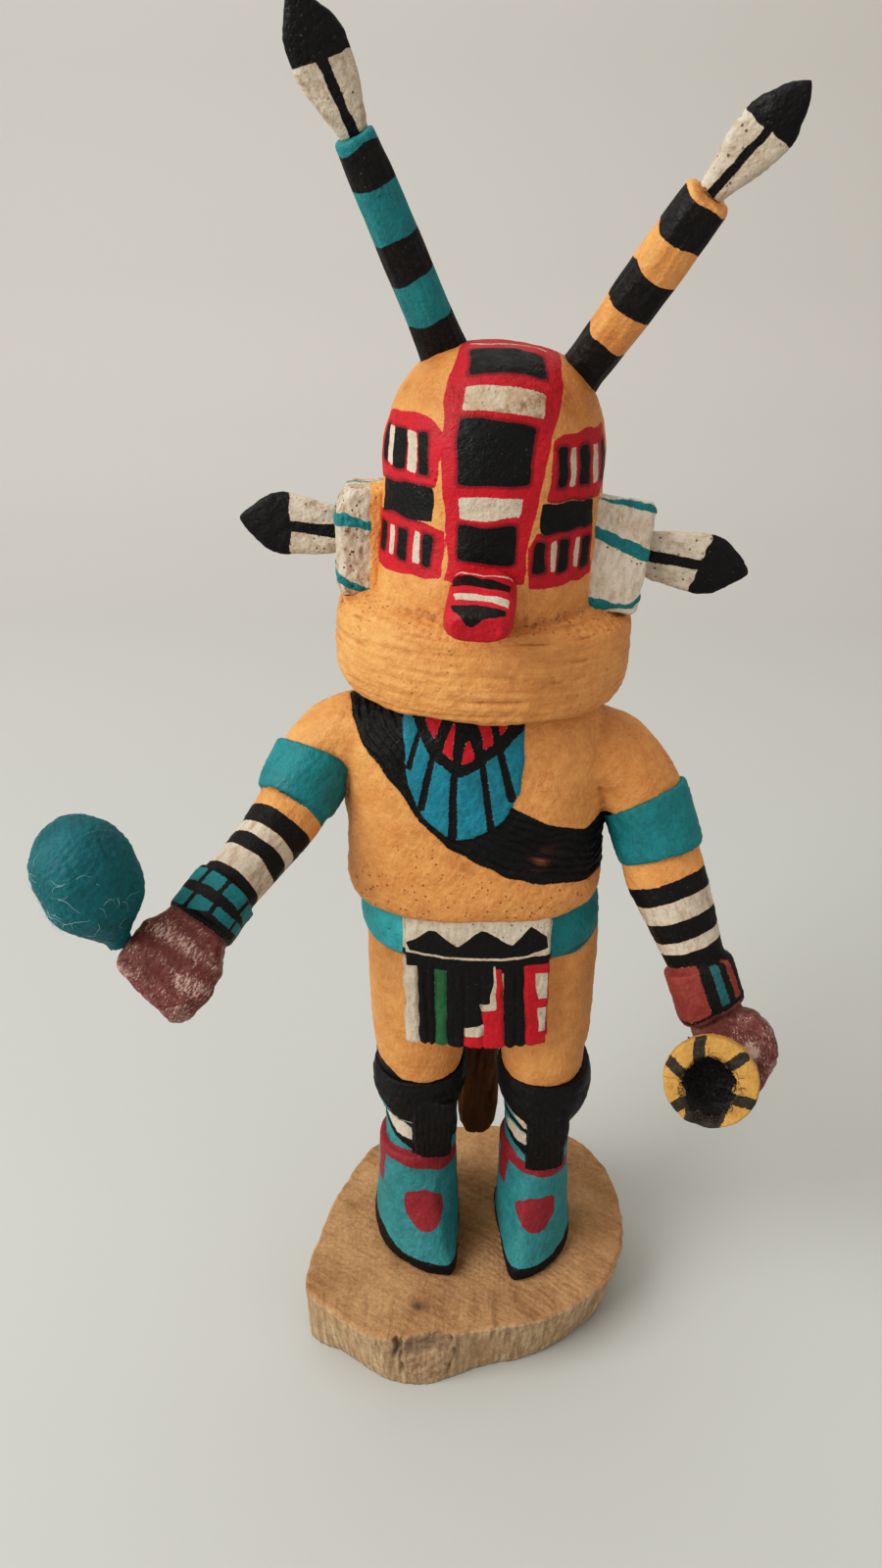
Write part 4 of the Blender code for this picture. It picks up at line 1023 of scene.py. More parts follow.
across_apron = np.linspace(-1.0, 1.0, 41)
apron_edge = [(apron_half_width * u, apron_front - apron_bow * (1 - u * u)) for u in across_apron]
apron_edge += [(apron_half_width * u, apron_back) for u in across_apron[::-1]]
apron_edge = np.array(apron_edge)
apron_rings = []
for z in np.linspace(apron_foot, trunk_foot + 1.5, 40):
    lean = np.interp(z, (apron_foot, apron_foot + 16.0, trunk_foot + 1.5), (0.0, -0.4, 0.6))
    ring = np.column_stack([apron_edge[:, 0] + 0.5, apron_edge[:, 1], np.full(len(apron_edge), z)])
    ring[:, 1] += lean * (apron_edge[:, 1] < apron_back)
    apron_rings.append(ring)

hips = [upright([(z, 24.1 + swell, 14.6 + swell) for z, swell in levels], (hip_middle, -0.4), 2.6,
                rows=12)
        for levels in (((84.0, -0.6), (85.0, 0.0), (trunk_foot + 2.0, 0.0)),
                       ((belt_foot, 0.3), (belt_foot + 0.5, 1.0), (belt_foot + 2.2, 1.9),
                        (belt_foot + 5.0, 1.9), (belt_foot + 9.0, 1.2), (trunk_foot + 2.0, 0.4)))]
hips[1][..., 2] += (belt_rise * np.abs((hips[1][..., 0] - hip_middle) / hip_reach) ** 8
                    * ramp(trunk_foot - hips[1][..., 2], 9.0))
thighs = [upright([(z, thigh_half_width[side] * w, d) for z, w, d in thigh_profile],
                  (leg_axis[side], 0.0), 2.2) for side in ("right", "left")]
hips_mesh = blended(hips + thighs + [np.array(apron_rings)], 0.36, 5)
points, directions, ridges = measured(hips_mesh)

front = points[:, [0, 2]] + 0.2 * wander(points, 5.0, 71)
in_front = (points[:, 1] < -12.5) & (points[:, 2] > apron_foot - 0.8)
on_panel = kept_to(in_front, block(front, [(-15.2, 121), (15.9, 121), (15.9, 85.2), (-15.2, 85.2)],
                                   0.2))
hips_colours = ("teal", "lit belt teal", "green", "red", "black", "white")
coat = new_coat(points, hips_colours)
round_hips = np.minimum(np.abs((points[:, 0] - hip_middle) / hip_reach), 1.0)
belt_edge = belt_foot - 0.3 + belt_rise * round_hips ** 8
on_belt = np.minimum(front[:, 1] - belt_edge, 125.0 - front[:, 1])
brush(coat, "teal", on_belt)
# Painted light: the belt's right half, towards the lamp and under the right arm's shadow, is painted
# a paler teal than the rest.
brush(coat, "lit belt teal", kept_to((points[:, 0] < 0) & (points[:, 1] < 4), on_belt))
brush(coat, "white", on_panel)


def on_apron(colour, inside):
    """Paints a shape on the apron panel only."""
    brush(coat, colour, np.minimum(inside, on_panel))


on_apron("black", within(front, [
    (-14.4, 111.6), (-12.5, 112.7), (-9.5, 115), (-8.1, 115), (-3.7, 111.9), (1.2, 115.7),
    (2.4, 115.5), (6, 113.3), (7.7, 112.2), (11.6, 116.4), (15, 113.8), (15.2, 111.1),
    (11.2, 109.5), (4.7, 109.45), (-3.7, 109.4), (-10.9, 109.5), (-13.8, 109.7)]))
on_apron("black", within(front, [(-15.5, 109.1), (-3.7, 108.85), (4.7, 108.85), (11.2, 109.0),
                                 (16.5, 109.8), (16.5, 105.8), (-15.5, 105.8)]))
for colour, head_low, head_high, foot_low, foot_high, top_edge in (
        ("white", -15.4, -12.2, -15.4, -11.6, 106.0), ("black", -12.2, -8.4, -11.6, -8.3, 108),
        ("green", -8.4, -6.0, -8.3, -5.7, 106.1), ("black", -6.0, 4.3, -5.7, 2.4, 108),
        ("black", 6.1, 10.2, 6.8, 11.2, 108), ("red", 10.2, 16.5, 11.2, 16.5, 107.4)):
    on_apron(colour, block(front, [(head_low, top_edge), (head_high, top_edge), (foot_high, 84.5),
                                   (foot_low, 84.5)], 0.12))
on_apron("red", within(front, [(4.3, 106.7), (5.6, 106.7), (6.4, 98.3), (6.8, 84.5), (-2.2, 84.5),
                               (-2, 88.9), (2, 89.2), (2, 92.4), (1.6, 96.2), (4.6, 96.6)]))
on_apron("white", stroke(front, [(4.1, 107.2), (4.5, 98.4)], (0.35, 0.7)))
on_apron("white", within(front, [(1.1, 97.9), (4.8, 98.4), (4.6, 96.6), (1.6, 96.2)]))
on_apron("white", within(front, [(-2.1, 91.2), (2, 92.4), (2, 89.2), (-2, 88.9)]))
on_apron("white", block(front, [(12.7, 105.1), (15.5, 104.8), (15.7, 98.2), (13.4, 98.5)], 0.05))
on_apron("white", block(front, [(13.3, 96.2), (15.6, 96), (15.6, 89.7), (13.9, 89.5)], 0.05))
garter_edge = np.interp(points[:, 0], (-24, -22.2, -20, -15.7, -11.8, -4, -2, 4, 8, 16, 24, 28),
                        (73.6, 73.4, 71.7, 69.5, 68.9, 69.3, 70, 69.5, 68.6, 67.8, 69.0, 69.6))
brush(coat, "black", garter_edge + 0.4 * unevenness(points, 5.0, 73) - points[:, 2])

relief = ripples(points, 74, (0.16, 11.0), (0.08, 4.5), (0.06, 1.4))
flute_edges = ((-12.2, -11.6), (-10.5, -9.9), (-8.4, -8.3), (-6.0, -5.7), (-2.4, -1.9), (1.0, 2.0),
               (6.1, 6.8), (8.5, 9.1), (10.2, 11.2))
flute_depth, flute_width = 0.42, 0.42
down = ramp(belt_foot - front[:, 1], belt_foot - apron_foot)
fluted = ramp(belt_foot + 1.0 - front[:, 1], 1.2) * ramp(on_panel + 0.2, 0.5)
for head_x, foot_x in flute_edges:
    across = front[:, 0] - head_x - (foot_x - head_x) * down
    relief -= flute_depth * fluted * np.exp(-(across / flute_width) ** 2)
weave = points * (1.0, 1.0, 0.12)
relief += 0.05 * np.clip(on_panel, 0, 1) * unevenness(weave, 0.8, 77)
points = points + directions * (relief - 0.06)[:, None]

# A paler copy of the teal, for the painted light on the belt's right half.
paints["lit belt teal"] = (light(38, 130, 136), light(72, 180, 184))
hips_paint = painted("hips_paint", "ochre", hips_colours, 0.6, shift=0.6, wobble=0.06)
keep_coat(hips_mesh, coat, ridges + 0.5 * relief, drawn_out(points, (0, 0, 1), 0.35),
          0.35 + 0.4 * np.clip(front[:, 1] - 108.0, 0, 1), 0.02)
carved_piece("carved_hips", hips_mesh, points, "carved_figure", hips_paint)


# ---------------------------------------------------------------- garters and boots
# A black garter with a fringed end hangs at each knee over white leggings, and the feet wear
# turquoise moccasin boots with red ankle bands, side stripes and instep patches.

garter_profile = [(55.4, 8.9, 9.8), (56.4, 10.1, 11.0), (59.5, 11.1, 12.0), (63.0, 11.4, 12.3),
                  (67.0, 11.1, 12.1), (69.0, 10.6, 11.6)]
tassel_profile = [(0.0, 0.72, 1.3, -9.5), (1.4, 0.92, 1.9, -9.7), (7.0, 1.0, 2.3, -10.3),
                  (14.0, 1.08, 2.2, -11.0), (18.0, 1.1, 1.6, -11.0)]
tassel_place = {"right": (-9.2, 4.8, 45.9), "left": (17.7, 4.5, 43.0)}
sole_line = [(-10.2, 0.0), (-10.4, -8.0), (-10.1, -18.9), (-6.6, -20.3), (0.6, -18.0), (7.0, -12.6),
             (10.4, -5.0), (11.2, 3.0), (9.0, 9.6), (3.0, 12.6), (-4.0, 12.2), (-8.8, 7.6)]
boot_levels = [(17.3, 0.0, 1.0), (19.7, 0.0, 1.01), (22.5, 0.12, 1.0), (26.0, 0.34, 1.0),
               (31.0, 0.62, 1.0), (37.0, 0.84, 1.0), (44.0, 1.0, 1.0), (45.0, 1.0, 0.95)]
boot_place = {"right": (-13.4, 1.0, 1.5, -1), "left": (15.2, 0.87, 9.0, 1)}

legs = []
for side in ("right", "left"):
    centre_x = leg_axis[side]
    garter_x = centre_x + (0.6 if side == "left" else 0.0)
    garter = upright([(z, w, d) for z, w, d in garter_profile], (garter_x, -0.2), 2.2)
    sideways = 1.0 - ramp(-garter[..., 1], 11.0) ** 1.5
    garter[..., 2] += 6.0 * sideways * ramp(66.0 - garter[..., 2], 10.0)
    legs.append(garter)
    tassel_x, tassel_half, tassel_foot = tassel_place[side]
    legs.append(limb([((tassel_x, y, tassel_foot + z), tassel_half * w, d)
                      for z, w, d, y in tassel_profile], 3.0))
    slim, shift = (0.0, 0.1) if side == "right" else (1.3, -1.0)
    legs.append(upright([(38.3, 8.5 - slim, 8.9), (44.4, 8.7 - slim, 8.9), (54.0, 8.8 - slim, 9.2),
                         (64.0, 9.2 - slim, 9.8)], (centre_x + shift, 0.1)))
    boot_x, width, turn, outward_side = boot_place[side]
    sole = rim_curve(sole_line, 8)
    angle = np.arctan2(sole[:, 1] + 1.0, sole[:, 0])
    shaft = np.column_stack([9.6 * np.cos(angle), 10.1 * np.sin(angle) - 0.3])
    soft_sole = np.mean([np.roll(sole, k, axis=0) for k in range(-8, 9)], axis=0) * 1.03
    knots, steps = [z for z, _, _ in boot_levels], 7
    levels = np.interp(np.arange((len(knots) - 1) * steps + 1) / steps, np.arange(len(knots)),
                       knots)
    rings = []
    c, s = math.cos(math.radians(turn)), math.sin(math.radians(turn))
    for z, (rise, swell) in zip(levels, eased(knots, [(r, s) for _, r, s in boot_levels], levels)):
        soft = min(max((z - 18.5) / 4.5, 0.0), 1.0)
        foot_shape = sole * (1 - soft) + soft_sole * soft
        ring = (foot_shape * (1 - rise) + shaft * rise) * swell * np.array((width, 1.0))
        ring = ring @ np.array(((c, s), (-s, c)))
        ring = np.column_stack([boot_x + outward_side * ring[:, 0], ring[:, 1],
                                np.full(len(ring), z)])
        rings.append(ring if side == "left" else ring[::-1])
    legs.append(np.array(rings))
legs_mesh = blended(legs, 0.4, 4)
points, directions, ridges = measured(legs_mesh)

front = points[:, [0, 2]] + 0.22 * wander(points, 5.0, 81)
height = front[:, 1]
at_front = points[:, 1] < 1.0
coat = new_coat(points, ("boot red", "black", "white"))
x = points[:, 0]
on_right = x < 1.5


def across_legs(right_x, right_height, left_x, left_height):
    """The height of an edge that crosses each leg, from heights at places across it."""
    return np.where(on_right, np.interp(x, right_x, right_height), np.interp(x, left_x, left_height))


band_top = across_legs((-22, -14, -8, -4), (45.2, 45.8, 45.6, 43.2),
                       (7, 12, 18, 24), (46.4, 44.3, 42.6, 41.8))
band_foot = across_legs((-22, -18, -12, -8, -4), (42.9, 43.0, 41.9, 40.6, 39.5),
                        (7, 12, 18, 24), (42.4, 41.4, 40.2, 39.5))
brush(coat, "boot red", np.minimum(height - band_foot, band_top - height))
toe, heel = ramp(-points[:, 1] - 13.0, 6.0), ramp(points[:, 1] - 2, 8)
outer = np.where(on_right, leg_axis["right"] - x, x - leg_axis["left"])
sole_edge = 20.4 + 0.3 * toe + np.clip(outer - 4, 0, 8) * 0.3 + 5.0 * heel
brush(coat, "black", sole_edge - height)
for stripe_x, stripe_y, half, on_side in ((-22.5, -4.9, 1.5, on_right),
                                          (7.6, -4.2, 2.1, ~on_right)):
    stripe = np.min([half - np.abs(points[:, 1] - stripe_y), height - 33.5, band_top - height],
                    axis=0)
    brush(coat, "boot red", kept_to(on_side & (np.abs(x - stripe_x) < 4.5), stripe))
for corners in (
        [(-13.9, 33.0), (-11.5, 33.9), (-9.2, 32.8), (-9.2, 31.0), (-10.2, 29.7), (-12.0, 29.6),
         (-13.4, 31.0)],
        [(13.2, 31.8), (14.9, 32.7), (17.8, 32.7), (17.9, 30.9), (16.9, 29.8), (15.2, 29.9),
         (14.1, 31.0)]):
    brush(coat, "boot red", kept_to(at_front, within(front, corners) + 2.4))
garter_foot = np.where(points[:, 1] > -1.0, 62.0, across_legs(
    (-23, -21.3, -19.6, -17.9, -15.9, -13.9, -6.0, -4.8, -2.5),
    (63.0, 62.0, 60.4, 57.7, 55.4, 53.6, 46.8, 46.4, 46.2),
    (6.0, 7.2, 9.2, 11.5, 13.5, 22.8, 25.8, 27.5), (60.6, 59.0, 58.2, 57.0, 55.6, 60.6, 61.8, 62)))
brush(coat, "black", height - garter_foot)
for corners, right_leg in (
        ([(-20.6, 59.2), (-18.2, 56.2), (-16.0, 54.4), (-13.2, 52.2), (-13.2, 48.4), (-14.8, 48.6),
          (-18.4, 50.2), (-20.6, 53.4)], True),
        ([(-7.2, 55.0), (-4.4, 56.8), (-4.4, 54.8), (-7.2, 53.0)], True),
        ([(8.4, 58.6), (9.8, 58.2), (12.6, 55.8), (14.2, 56.0), (14.2, 53.7), (13.2, 53.0),
          (9.6, 56.0), (8.2, 57.0)], False),
        ([(8.2, 52.8), (9.0, 53.6), (13.3, 51.9), (14.2, 51.0), (14.2, 48.6), (13.1, 47.8),
          (10.9, 48.8), (8.2, 50.8)], False)):
    brush(coat, "white", kept_to(at_front & (on_right == right_leg), within(front, corners)))
swelling = (0.7, 1.6, 3.0)
for colour, path, width in (
        ("black", [(7.4, 55.4), (9.2, 54.9), (14.0, 52.4)], 0.9),
        ("black", [(7.4, 59.8), (9.8, 59.2), (14.0, 56.4)], 0.9),
        ("black", [(-21.5, 60.4), (-18.2, 57.2), (-13.5, 53.6)], 0.9),
        ("black", [(7.4, 50.6), (10.9, 47.9), (14.2, 46.2)], swelling),
        ("black", [(-21.5, 52.6), (-18.4, 49.4), (-13.4, 47.4)], swelling),
        ("white", [(-18.4, 58.7), (-16.4, 57.6), (-13.6, 56.7)], 0.5)):
    brush(coat, colour, kept_to(at_front, stroke(front, path, width)))
tassel_x, tassel_half, tassel_foot = np.where(on_right, *(
    np.array(tassel_place[side])[:, None] for side in ("right", "left")))
on_tassel = np.minimum(tassel_half + 0.3 - np.abs(x - tassel_x), points[:, 2] - tassel_foot + 0.6)
brush(coat, "black", kept_to(points[:, 1] < -8.3, on_tassel))
brush(coat, "black", kept_to(~on_right & (points[:, 1] < -4.0),
                             np.minimum(x - 20.6, height - 46.8)))

fringe = ramp(on_tassel, 0.8) * (points[:, 1] < -8.0) * ramp(66.0 - points[:, 2], 5.0)
cord_pitch, fold_pitch = 1.3, 3.4
relief = ripples(points, 83, (0.12, 9.0), (0.07, 4.0), (0.06, 1.3))
cords = np.cos((x - tassel_x + 0.3 * unevenness(points, 8.0, 86)) * math.tau / cord_pitch)
relief -= fringe * 0.30 * np.clip(-cords, 0, 1) ** 2
folds = points[:, 2] + 0.9 * unevenness(points, 9.0, 87)
on_garter = ramp(height - garter_foot, 1.0) * (1 - fringe)
relief -= on_garter * 0.14 * (0.5 + 0.5 * np.cos(folds * math.tau / fold_pitch)) ** 3
points = points + directions * (relief - 0.06)[:, None]

paints["boot red"] = (light(112, 30, 38), light(148, 46, 54))
paints["boot teal"] = (light(32, 98, 102), light(62, 140, 142))
legs_paint = painted("boot_and_garter_paint", "boot teal", ("boot red", "black", "white"), 0.35,
                     shift=0.8, wobble=0.16, stained=0.2)
keep_coat(legs_mesh, coat, ridges + 0.5 * relief, drawn_out(points, (0, 0, 1), 0.4), 0.3, 0.05)
carved_piece("carved_legs", legs_mesh, points, "carved_figure", legs_paint)


# ---------------------------------------------------------------- horns
# Two whittled dowels stand in holes in the dome, left in flat knife cuts. The right one is ringed
# in black and turquoise and the left one in black and ochre, each with its end grain painted.

horns = (
    ("right", (-7.0, -1.0, 224.0), (-20.8, -12.0, 256.4), (4.1, 3.8, 3.3), 2.3, "teal",
     ((-9.0, 6.9), (14.6, 21.2), (29.4, 35.6)), 91),
    ("left", (16.2, -1.0, 220.3), (34.0, -14.6, 247.8), (3.9, 4.2, 3.6), 2.9, "ochre",
     ((-9.0, 8.9), (15.1, 22.3), (28.4, 34.9)), 96))
for side, foot, end, radii, power, ground, rings, seed in horns:
    foot, end = np.array(foot), np.array(end)
    length = np.linalg.norm(end - foot)
    ahead = (end - foot) / length
    at = ((-2.2, radii[0] * 1.12), (0.4, radii[0] * 1.03), (3.0, radii[0] * 0.99),
          (length * 0.5, radii[1]), (length - 0.5, radii[2] * 1.01), (length, radii[2] * 0.95))
    mesh = blended([limb([(foot + ahead * t, r, r) for t, r in at], power)], 0.3, 2)
    points, directions, ridges = measured(mesh)
    place = (points - foot) @ ahead
    cuts = drawn_out(points - foot, ahead, 0.12)
    relief = ripples(cuts, seed, (0.20, 5.5), (0.09, 1.9), (0.05, 0.8))
    ring_place = place + 0.5 * unevenness(points, 6.0, seed + 3)
    coat = new_coat(points, ("black",))
    for start, stop in rings:
        brush(coat, "black", band(ring_place, start, stop))
    points = points + directions * (relief - 0.05)[:, None]
    finish = painted(f"{side}_horn_paint", ground, ("black",), 0.4, shift=0.1 * seed)
    keep_coat(mesh, coat, ridges + relief * 0.6, drawn_out(points, ahead, 0.3), 0.4, 0.08)
    carved_piece(f"{side}_horn", mesh, points, f"{side}_horn", finish)


# ---------------------------------------------------------------- feathers
# Each horn and each ear ends in a feather whittled as a flat leaf, whitewashed, with a black
# quill line that runs into a black tip. Root grain shows as small pits through the white.

feathers = (
    ("right_horn_feather", (-20.7, -12.4, 257.0), (-28.6, -18.2, 274.2), 4.7, 0.48, 0.51, 0.03, 1.5,
     101),
    ("left_horn_feather", (34.4, -15.2, 248.8), (45.2, -22.8, 261.9), 4.3, 0.48, 0.58, -0.02, 1.3,
     106),
    ("right_ear_feather", (-26.8, 0.0, 192.9), (-45.7, 0.0, 195.2), 5.9, 0.7, 0.49, -0.03, 2.0, 111),
    ("left_ear_feather", (30.6, -2.4, 189.7), (50.0, -2.4, 186.3), 5.8, 0.7, 0.52, 0.05, 1.9, 116))
feather_half_thickness, flat_side = 1.5, (0.0, -1.0, 0.0)
for name, root, tip, half_width, root_width, tip_start, slant, quill, seed in feathers:
    root, tip = np.array(root), np.array(tip)
    length = np.linalg.norm(tip - root)
    ahead = (tip - root) / length
    across = np.cross(flat_side, ahead)
    across /= np.linalg.norm(across)
    outline = ((-0.04, root_width, 0.75), (0.18, (root_width + 1.0) / 2, 0.95), (0.38, 0.93, 1.0),
               (0.56, 1.0, 1.0), (0.68, 0.93, 0.95), (0.80, 0.68, 0.82), (0.90, 0.42, 0.62),
               (0.97, 0.18, 0.42), (1.0, 0.05, 0.2))
    mesh = blended([limb([(root + ahead * t * length, half_width * w, feather_half_thickness * d)
                          for t, w, d in outline], 2.5, across)], 0.26, 2)
    points, directions, ridges = measured(mesh)
    leaf = np.column_stack([(points - root) @ ahead / length, (points - root) @ across])
    leaf[:, 1] += 0.15 * unevenness(points, 3.0, seed)
    tip_edge = tip_start + slant * leaf[:, 1] / half_width
    tip_edge += 0.012 * unevenness(points, 2.5, seed + 1)
    coat = new_coat(points, ("black",))
    brush(coat, "black", (leaf[:, 0] - tip_edge) * length)
    quill_half = quill / 2 * (1.15 - 0.3 * leaf[:, 0])
    brush(coat, "black", quill_half - np.abs(leaf[:, 1]))
    relief = ripples(points, seed + 2, (0.10, 3.5), (0.04, 1.0))
    points = points + directions * (relief - 0.03)[:, None]
    finish = painted(f"{name}_paint", "white", ("black",), 0.8, shift=0.1 * seed, wobble=0.08,
                     stained=0.55)
    keep_coat(mesh, coat, ridges + relief, drawn_out(points, ahead, 0.6), 0.9, 0.03)
    carved_piece(name, mesh, points, name, finish)


# ---------------------------------------------------------------- ears
# The ears are thick square blocks of the same wood, glued against the mask and whitewashed. Their
# turquoise bands are lumpy, and the paint has aged brown where the rough grain is bare.

ears = (
    ("right_ear", (-22.7, 0.6, 191.7), (10.0, 13.0, 20.2), 6.0, 1.0, 0.0,
     (([(-5.2, 4.2), (-3.0, 4.6), (0.5, 3.5), (5.2, 3.2)], (2.4, 2.1, 1.6, 2.0)),
      ([(-5.2, -5.0), (-4.2, -6.8), (-1.0, -8.2), (3.6, -9.5)], (0.9, 1.4, 1.5, 1.0))), 121),
    ("left_ear", (24.0, -5.4, 190.2), (6.5, 13.0, 20.6), -80.0, 8.0, -10.0,
     (([(-4.9, 3.8), (-2.0, 2.9), (1.5, 1.9), (7.2, 0.4)], (1.7, 2.0, 2.3, 2.2)),
      ([(-5.4, 9.4), (0.0, 9.4), (4.0, 9.2), (6.6, 8.6)], (0.3, 0.9, 1.4, 0.8)),
      ([(-5.2, -10.2), (-3.6, -9.1), (-0.8, -8.9), (1.4, -9.0), (4.4, -8.6), (6.9, -6.2)],
       (1.6, 2.5, 2.0, 1.0, 0.9, 0.8))), 131))
# Painted light: the strip of the right ear beside the mask takes a paler ochre than the mask,
# lifting the shade in the step between ear and mask.
paints["lit ear ochre"] = (light(206, 140, 76), light(236, 176, 110))
paints["clean white"] = (light(192, 178, 160), light(224, 214, 200))
for name, centre, size, turn, lean, nod, bands, seed in ears:
    right = name == "right_ear"
    pose = np.array(Matrix.Rotation(math.radians(nod), 3, "X")
                    @ Matrix.Rotation(math.radians(lean), 3, "Y")
                    @ Matrix.Rotation(math.radians(turn), 3, "Z"))
    half = np.array(size) / 2
    rings = limb([((0, 0, z * half[2]), half[0] * k, half[1] * k) for z, k in
                  ((-1.0, 0.84), (-0.97, 0.91), (-0.88, 0.97), (0.0, 1.0), (0.88, 0.97),
                   (0.97, 0.91), (1.0, 0.84))], 5.0)
    if right:
        rings[..., 0] += ramp(rings[..., 2] - 5.5, 4.0) * np.clip(0.5 - rings[..., 0], 0, 5) * 0.35
    else:
        flare = 1.0 + 0.3 * ramp(-rings[..., 2], 10.0)
        rings[..., 1] *= np.where(rings[..., 1] < 0, flare, 1.0)
    mesh = blended([rings], 0.3, 2)
    local, directions, ridges = measured(mesh)
    wide_side = local[:, 0] if right else local[:, 1]
    front = np.column_stack([wide_side, local[:, 2]]) + 0.2 * np.column_stack(
        [unevenness(local, 2.5, seed), unevenness(local, 2.0, seed + 1)])
    coat = new_coat(local, ("teal", "lit ear ochre"))
    for path, widths in bands:
        brush(coat, "teal", stroke(front, path, widths))
    if right:
        over_top = stroke(local[:, :2], [(-4.4, 0.6), (0.0, 0.2), (5.0, 1.4)], (0.5, 1.0, 1.0))
        brush(coat, "teal", kept_to(directions[:, 2] > 0.6, over_top))
    by_mask = kept_to(right & (local[:, 1] < 1), local[:, 0] - 1.6)
    # The paler ochre here is painted light.
    brush(coat, "lit ear ochre", by_mask + 0.25 * unevenness(local, 3.0, seed + 2))
    band_swell = np.clip(coat["teal"] / 0.5 + 0.4, 0, 1)
    fibres = drawn_out(local, (0, 0, 1), 0.35)
    relief = ripples(local, seed + 3, (0.16, 6.0), (0.10, 2.2))
    relief += 0.07 * unevenness(fibres, 0.9, seed + 5)
    relief += band_swell * (0.16 + 0.10 * unevenness(local, 1.6, seed + 6))
    local = local + directions * (relief - 0.08)[:, None]
    ground, shade_and_grime, stained = ("white", 0.9, 0.85) if right else ("clean white", 0.5, 0.45)
    finish = painted(f"{name}_paint", ground, ("lit ear ochre", "teal"), 0.95, shift=0.1 * seed,
                     shade_and_grime=shade_and_grime, stained=stained)
    worn = np.clip(1.2 - np.abs(local[:, 0] + 1.8) / 2.0, 0, 1) if right else 0.2
    old_stain = 0.0 if right else 0.45 * np.exp(
        -((wide_side - 2.0) / 4.5) ** 2 - ((local[:, 2] - 5.8) / 2.4) ** 2)
    keep_coat(mesh, coat, ridges + relief, drawn_out(local, (0, 0, 1), 0.4), 0.5 + 0.6 * worn, 0.03,
              old_stain)
    carved_piece(name, mesh, local @ pose.T + centre, name, finish)


# ---------------------------------------------------------------- bill
# A blunt bill, whittled from a thin stick, is glued under the foot of the red column. Its red is
# crossed on top by black and white bands, and its underside is left ochre.

bill_stations = [((0.6, -17.0, 187.6), 5.6, 3.6), ((0.4, -24.0, 187.8), 5.7, 3.6),
                 ((0.0, -30.0, 187.2), 5.8, 3.6), ((-0.3, -34.4, 186.5), 5.8, 3.4),
                 ((-0.5, -36.9, 186.1), 5.1, 2.9), ((-0.6, -38.0, 185.8), 4.2, 2.2)]
bill_mesh = blended([limb(bill_stations, 2.9)], 0.26, 3)
points, directions, ridges = measured(bill_mesh)
over = np.column_stack([points[:, 0], -points[:, 1] + 190.5 - points[:, 2]])
over += 0.18 * wander(points, 3.0, 141)
coat = new_coat(points, ("ochre", "black", "white"))
brush(coat, "ochre", 182.8 - points[:, 2] + 0.2 * unevenness(points, 3.0, 143))
on_upper = points[:, 2] - 185.6
for colour, corners in (
        ("white", [(-4.6, 20.6), (0.5, 24.2), (5.4, 24.0), (5.4, 24.8), (0.4, 25.0), (-4.6, 21.3)]),
        ("black", [(-4.8, 22.2), (0.5, 26.4), (4.9, 28.0), (4.8, 31.0), (0.3, 30.6), (-4.8, 27.9)]),
        ("white", [(-4.3, 31.9), (0.3, 33.3), (4.7, 34.2), (4.4, 37.0), (0.5, 35.7), (-4.2, 34.9)]),
        ("black", [(-4.9, 36.7), (-1.6, 37.2), (4.1, 38.2), (4.3, 39.6), (2.3, 40.6), (0.4, 41.2),
                   (-1.4, 42.2), (-3, 40.8), (-4.4, 38.5)])):
    brush(coat, colour, np.minimum(within(over, corners), on_upper))
relief = ripples(points, 144, (0.09, 4.0), (0.03, 1.3))
points = points + directions * (relief - 0.03)[:, None]
bill_paint = painted("bill_paint", "red", ("ochre", "black", "white"), 0.15, stained=0.2)
keep_coat(bill_mesh, coat, ridges + relief, drawn_out(points, (0, 1, 0), 0.5), 0.2, 0.06)
carved_piece("bill", bill_mesh, points, "bill", bill_paint)


# ---------------------------------------------------------------- gourd rattle
# The rattle is an egg-shaped block of wood on a short neck, set in the right fist and painted a
# deep turquoise. Pale lint clings to its foot and to the side that was last handled.

paints["gourd"] = (light(10, 74, 82), light(20, 106, 112))
gourd_top, gourd_neck = np.array((-71.8, -42.6, 152.4)), np.array((-64.6, -41.4, 126.4))
gourd_radius = 9.1
gourd_profile = [(0.0, 0.12), (0.03, 0.38), (0.10, 0.66), (0.22, 0.90), (0.36, 1.0), (0.50, 1.0),
                 (0.62, 0.93), (0.73, 0.77), (0.82, 0.56), (0.88, 0.40), (0.94, 0.28), (1.0, 0.24)]
gourd_mesh = blended([limb([(gourd_top + (gourd_neck - gourd_top) * t, gourd_radius * r,
                             gourd_radius * r) for t, r in gourd_profile], 2.0, rows=9)], 0.3, 5)
points, directions, ridges = measured(gourd_mesh)
relief = ripples(points, 151, (0.22, 9.0), (0.09, 3.0), (0.08, 1.1))
points = points + directions * (relief - 0.1)[:, None]
gourd_paint = painted("gourd_paint", "gourd", (), 0.2, shift=1.3, shade_and_grime=0.5)
keep_coat(gourd_mesh, {}, ridges + relief, points, 0.3, 0.04)
carved_piece("gourd_rattle", gourd_mesh, points, "gourd_rattle", gourd_paint)


def bedding(mesh, points, chosen):
    """The part of a mesh for hairs to grow on: the faces whose corners are all chosen."""
    corners = np.empty(len(mesh.loops), int)
    mesh.loops.foreach_get("vertex_index", corners)
    starts = np.empty(len(mesh.polygons), int)
    mesh.polygons.foreach_get("loop_start", starts)
    fours = corners[starts[:, None] + np.arange(4)]
    fours = fours[chosen[fours].all(axis=1)]
    kept, renumbered = np.unique(fours, return_inverse=True)
    bed = bpy.data.meshes.new("bed")
    bed.from_pydata((points[kept] * mm).tolist(), [], renumbered.reshape(-1, 4).tolist())
    return bed


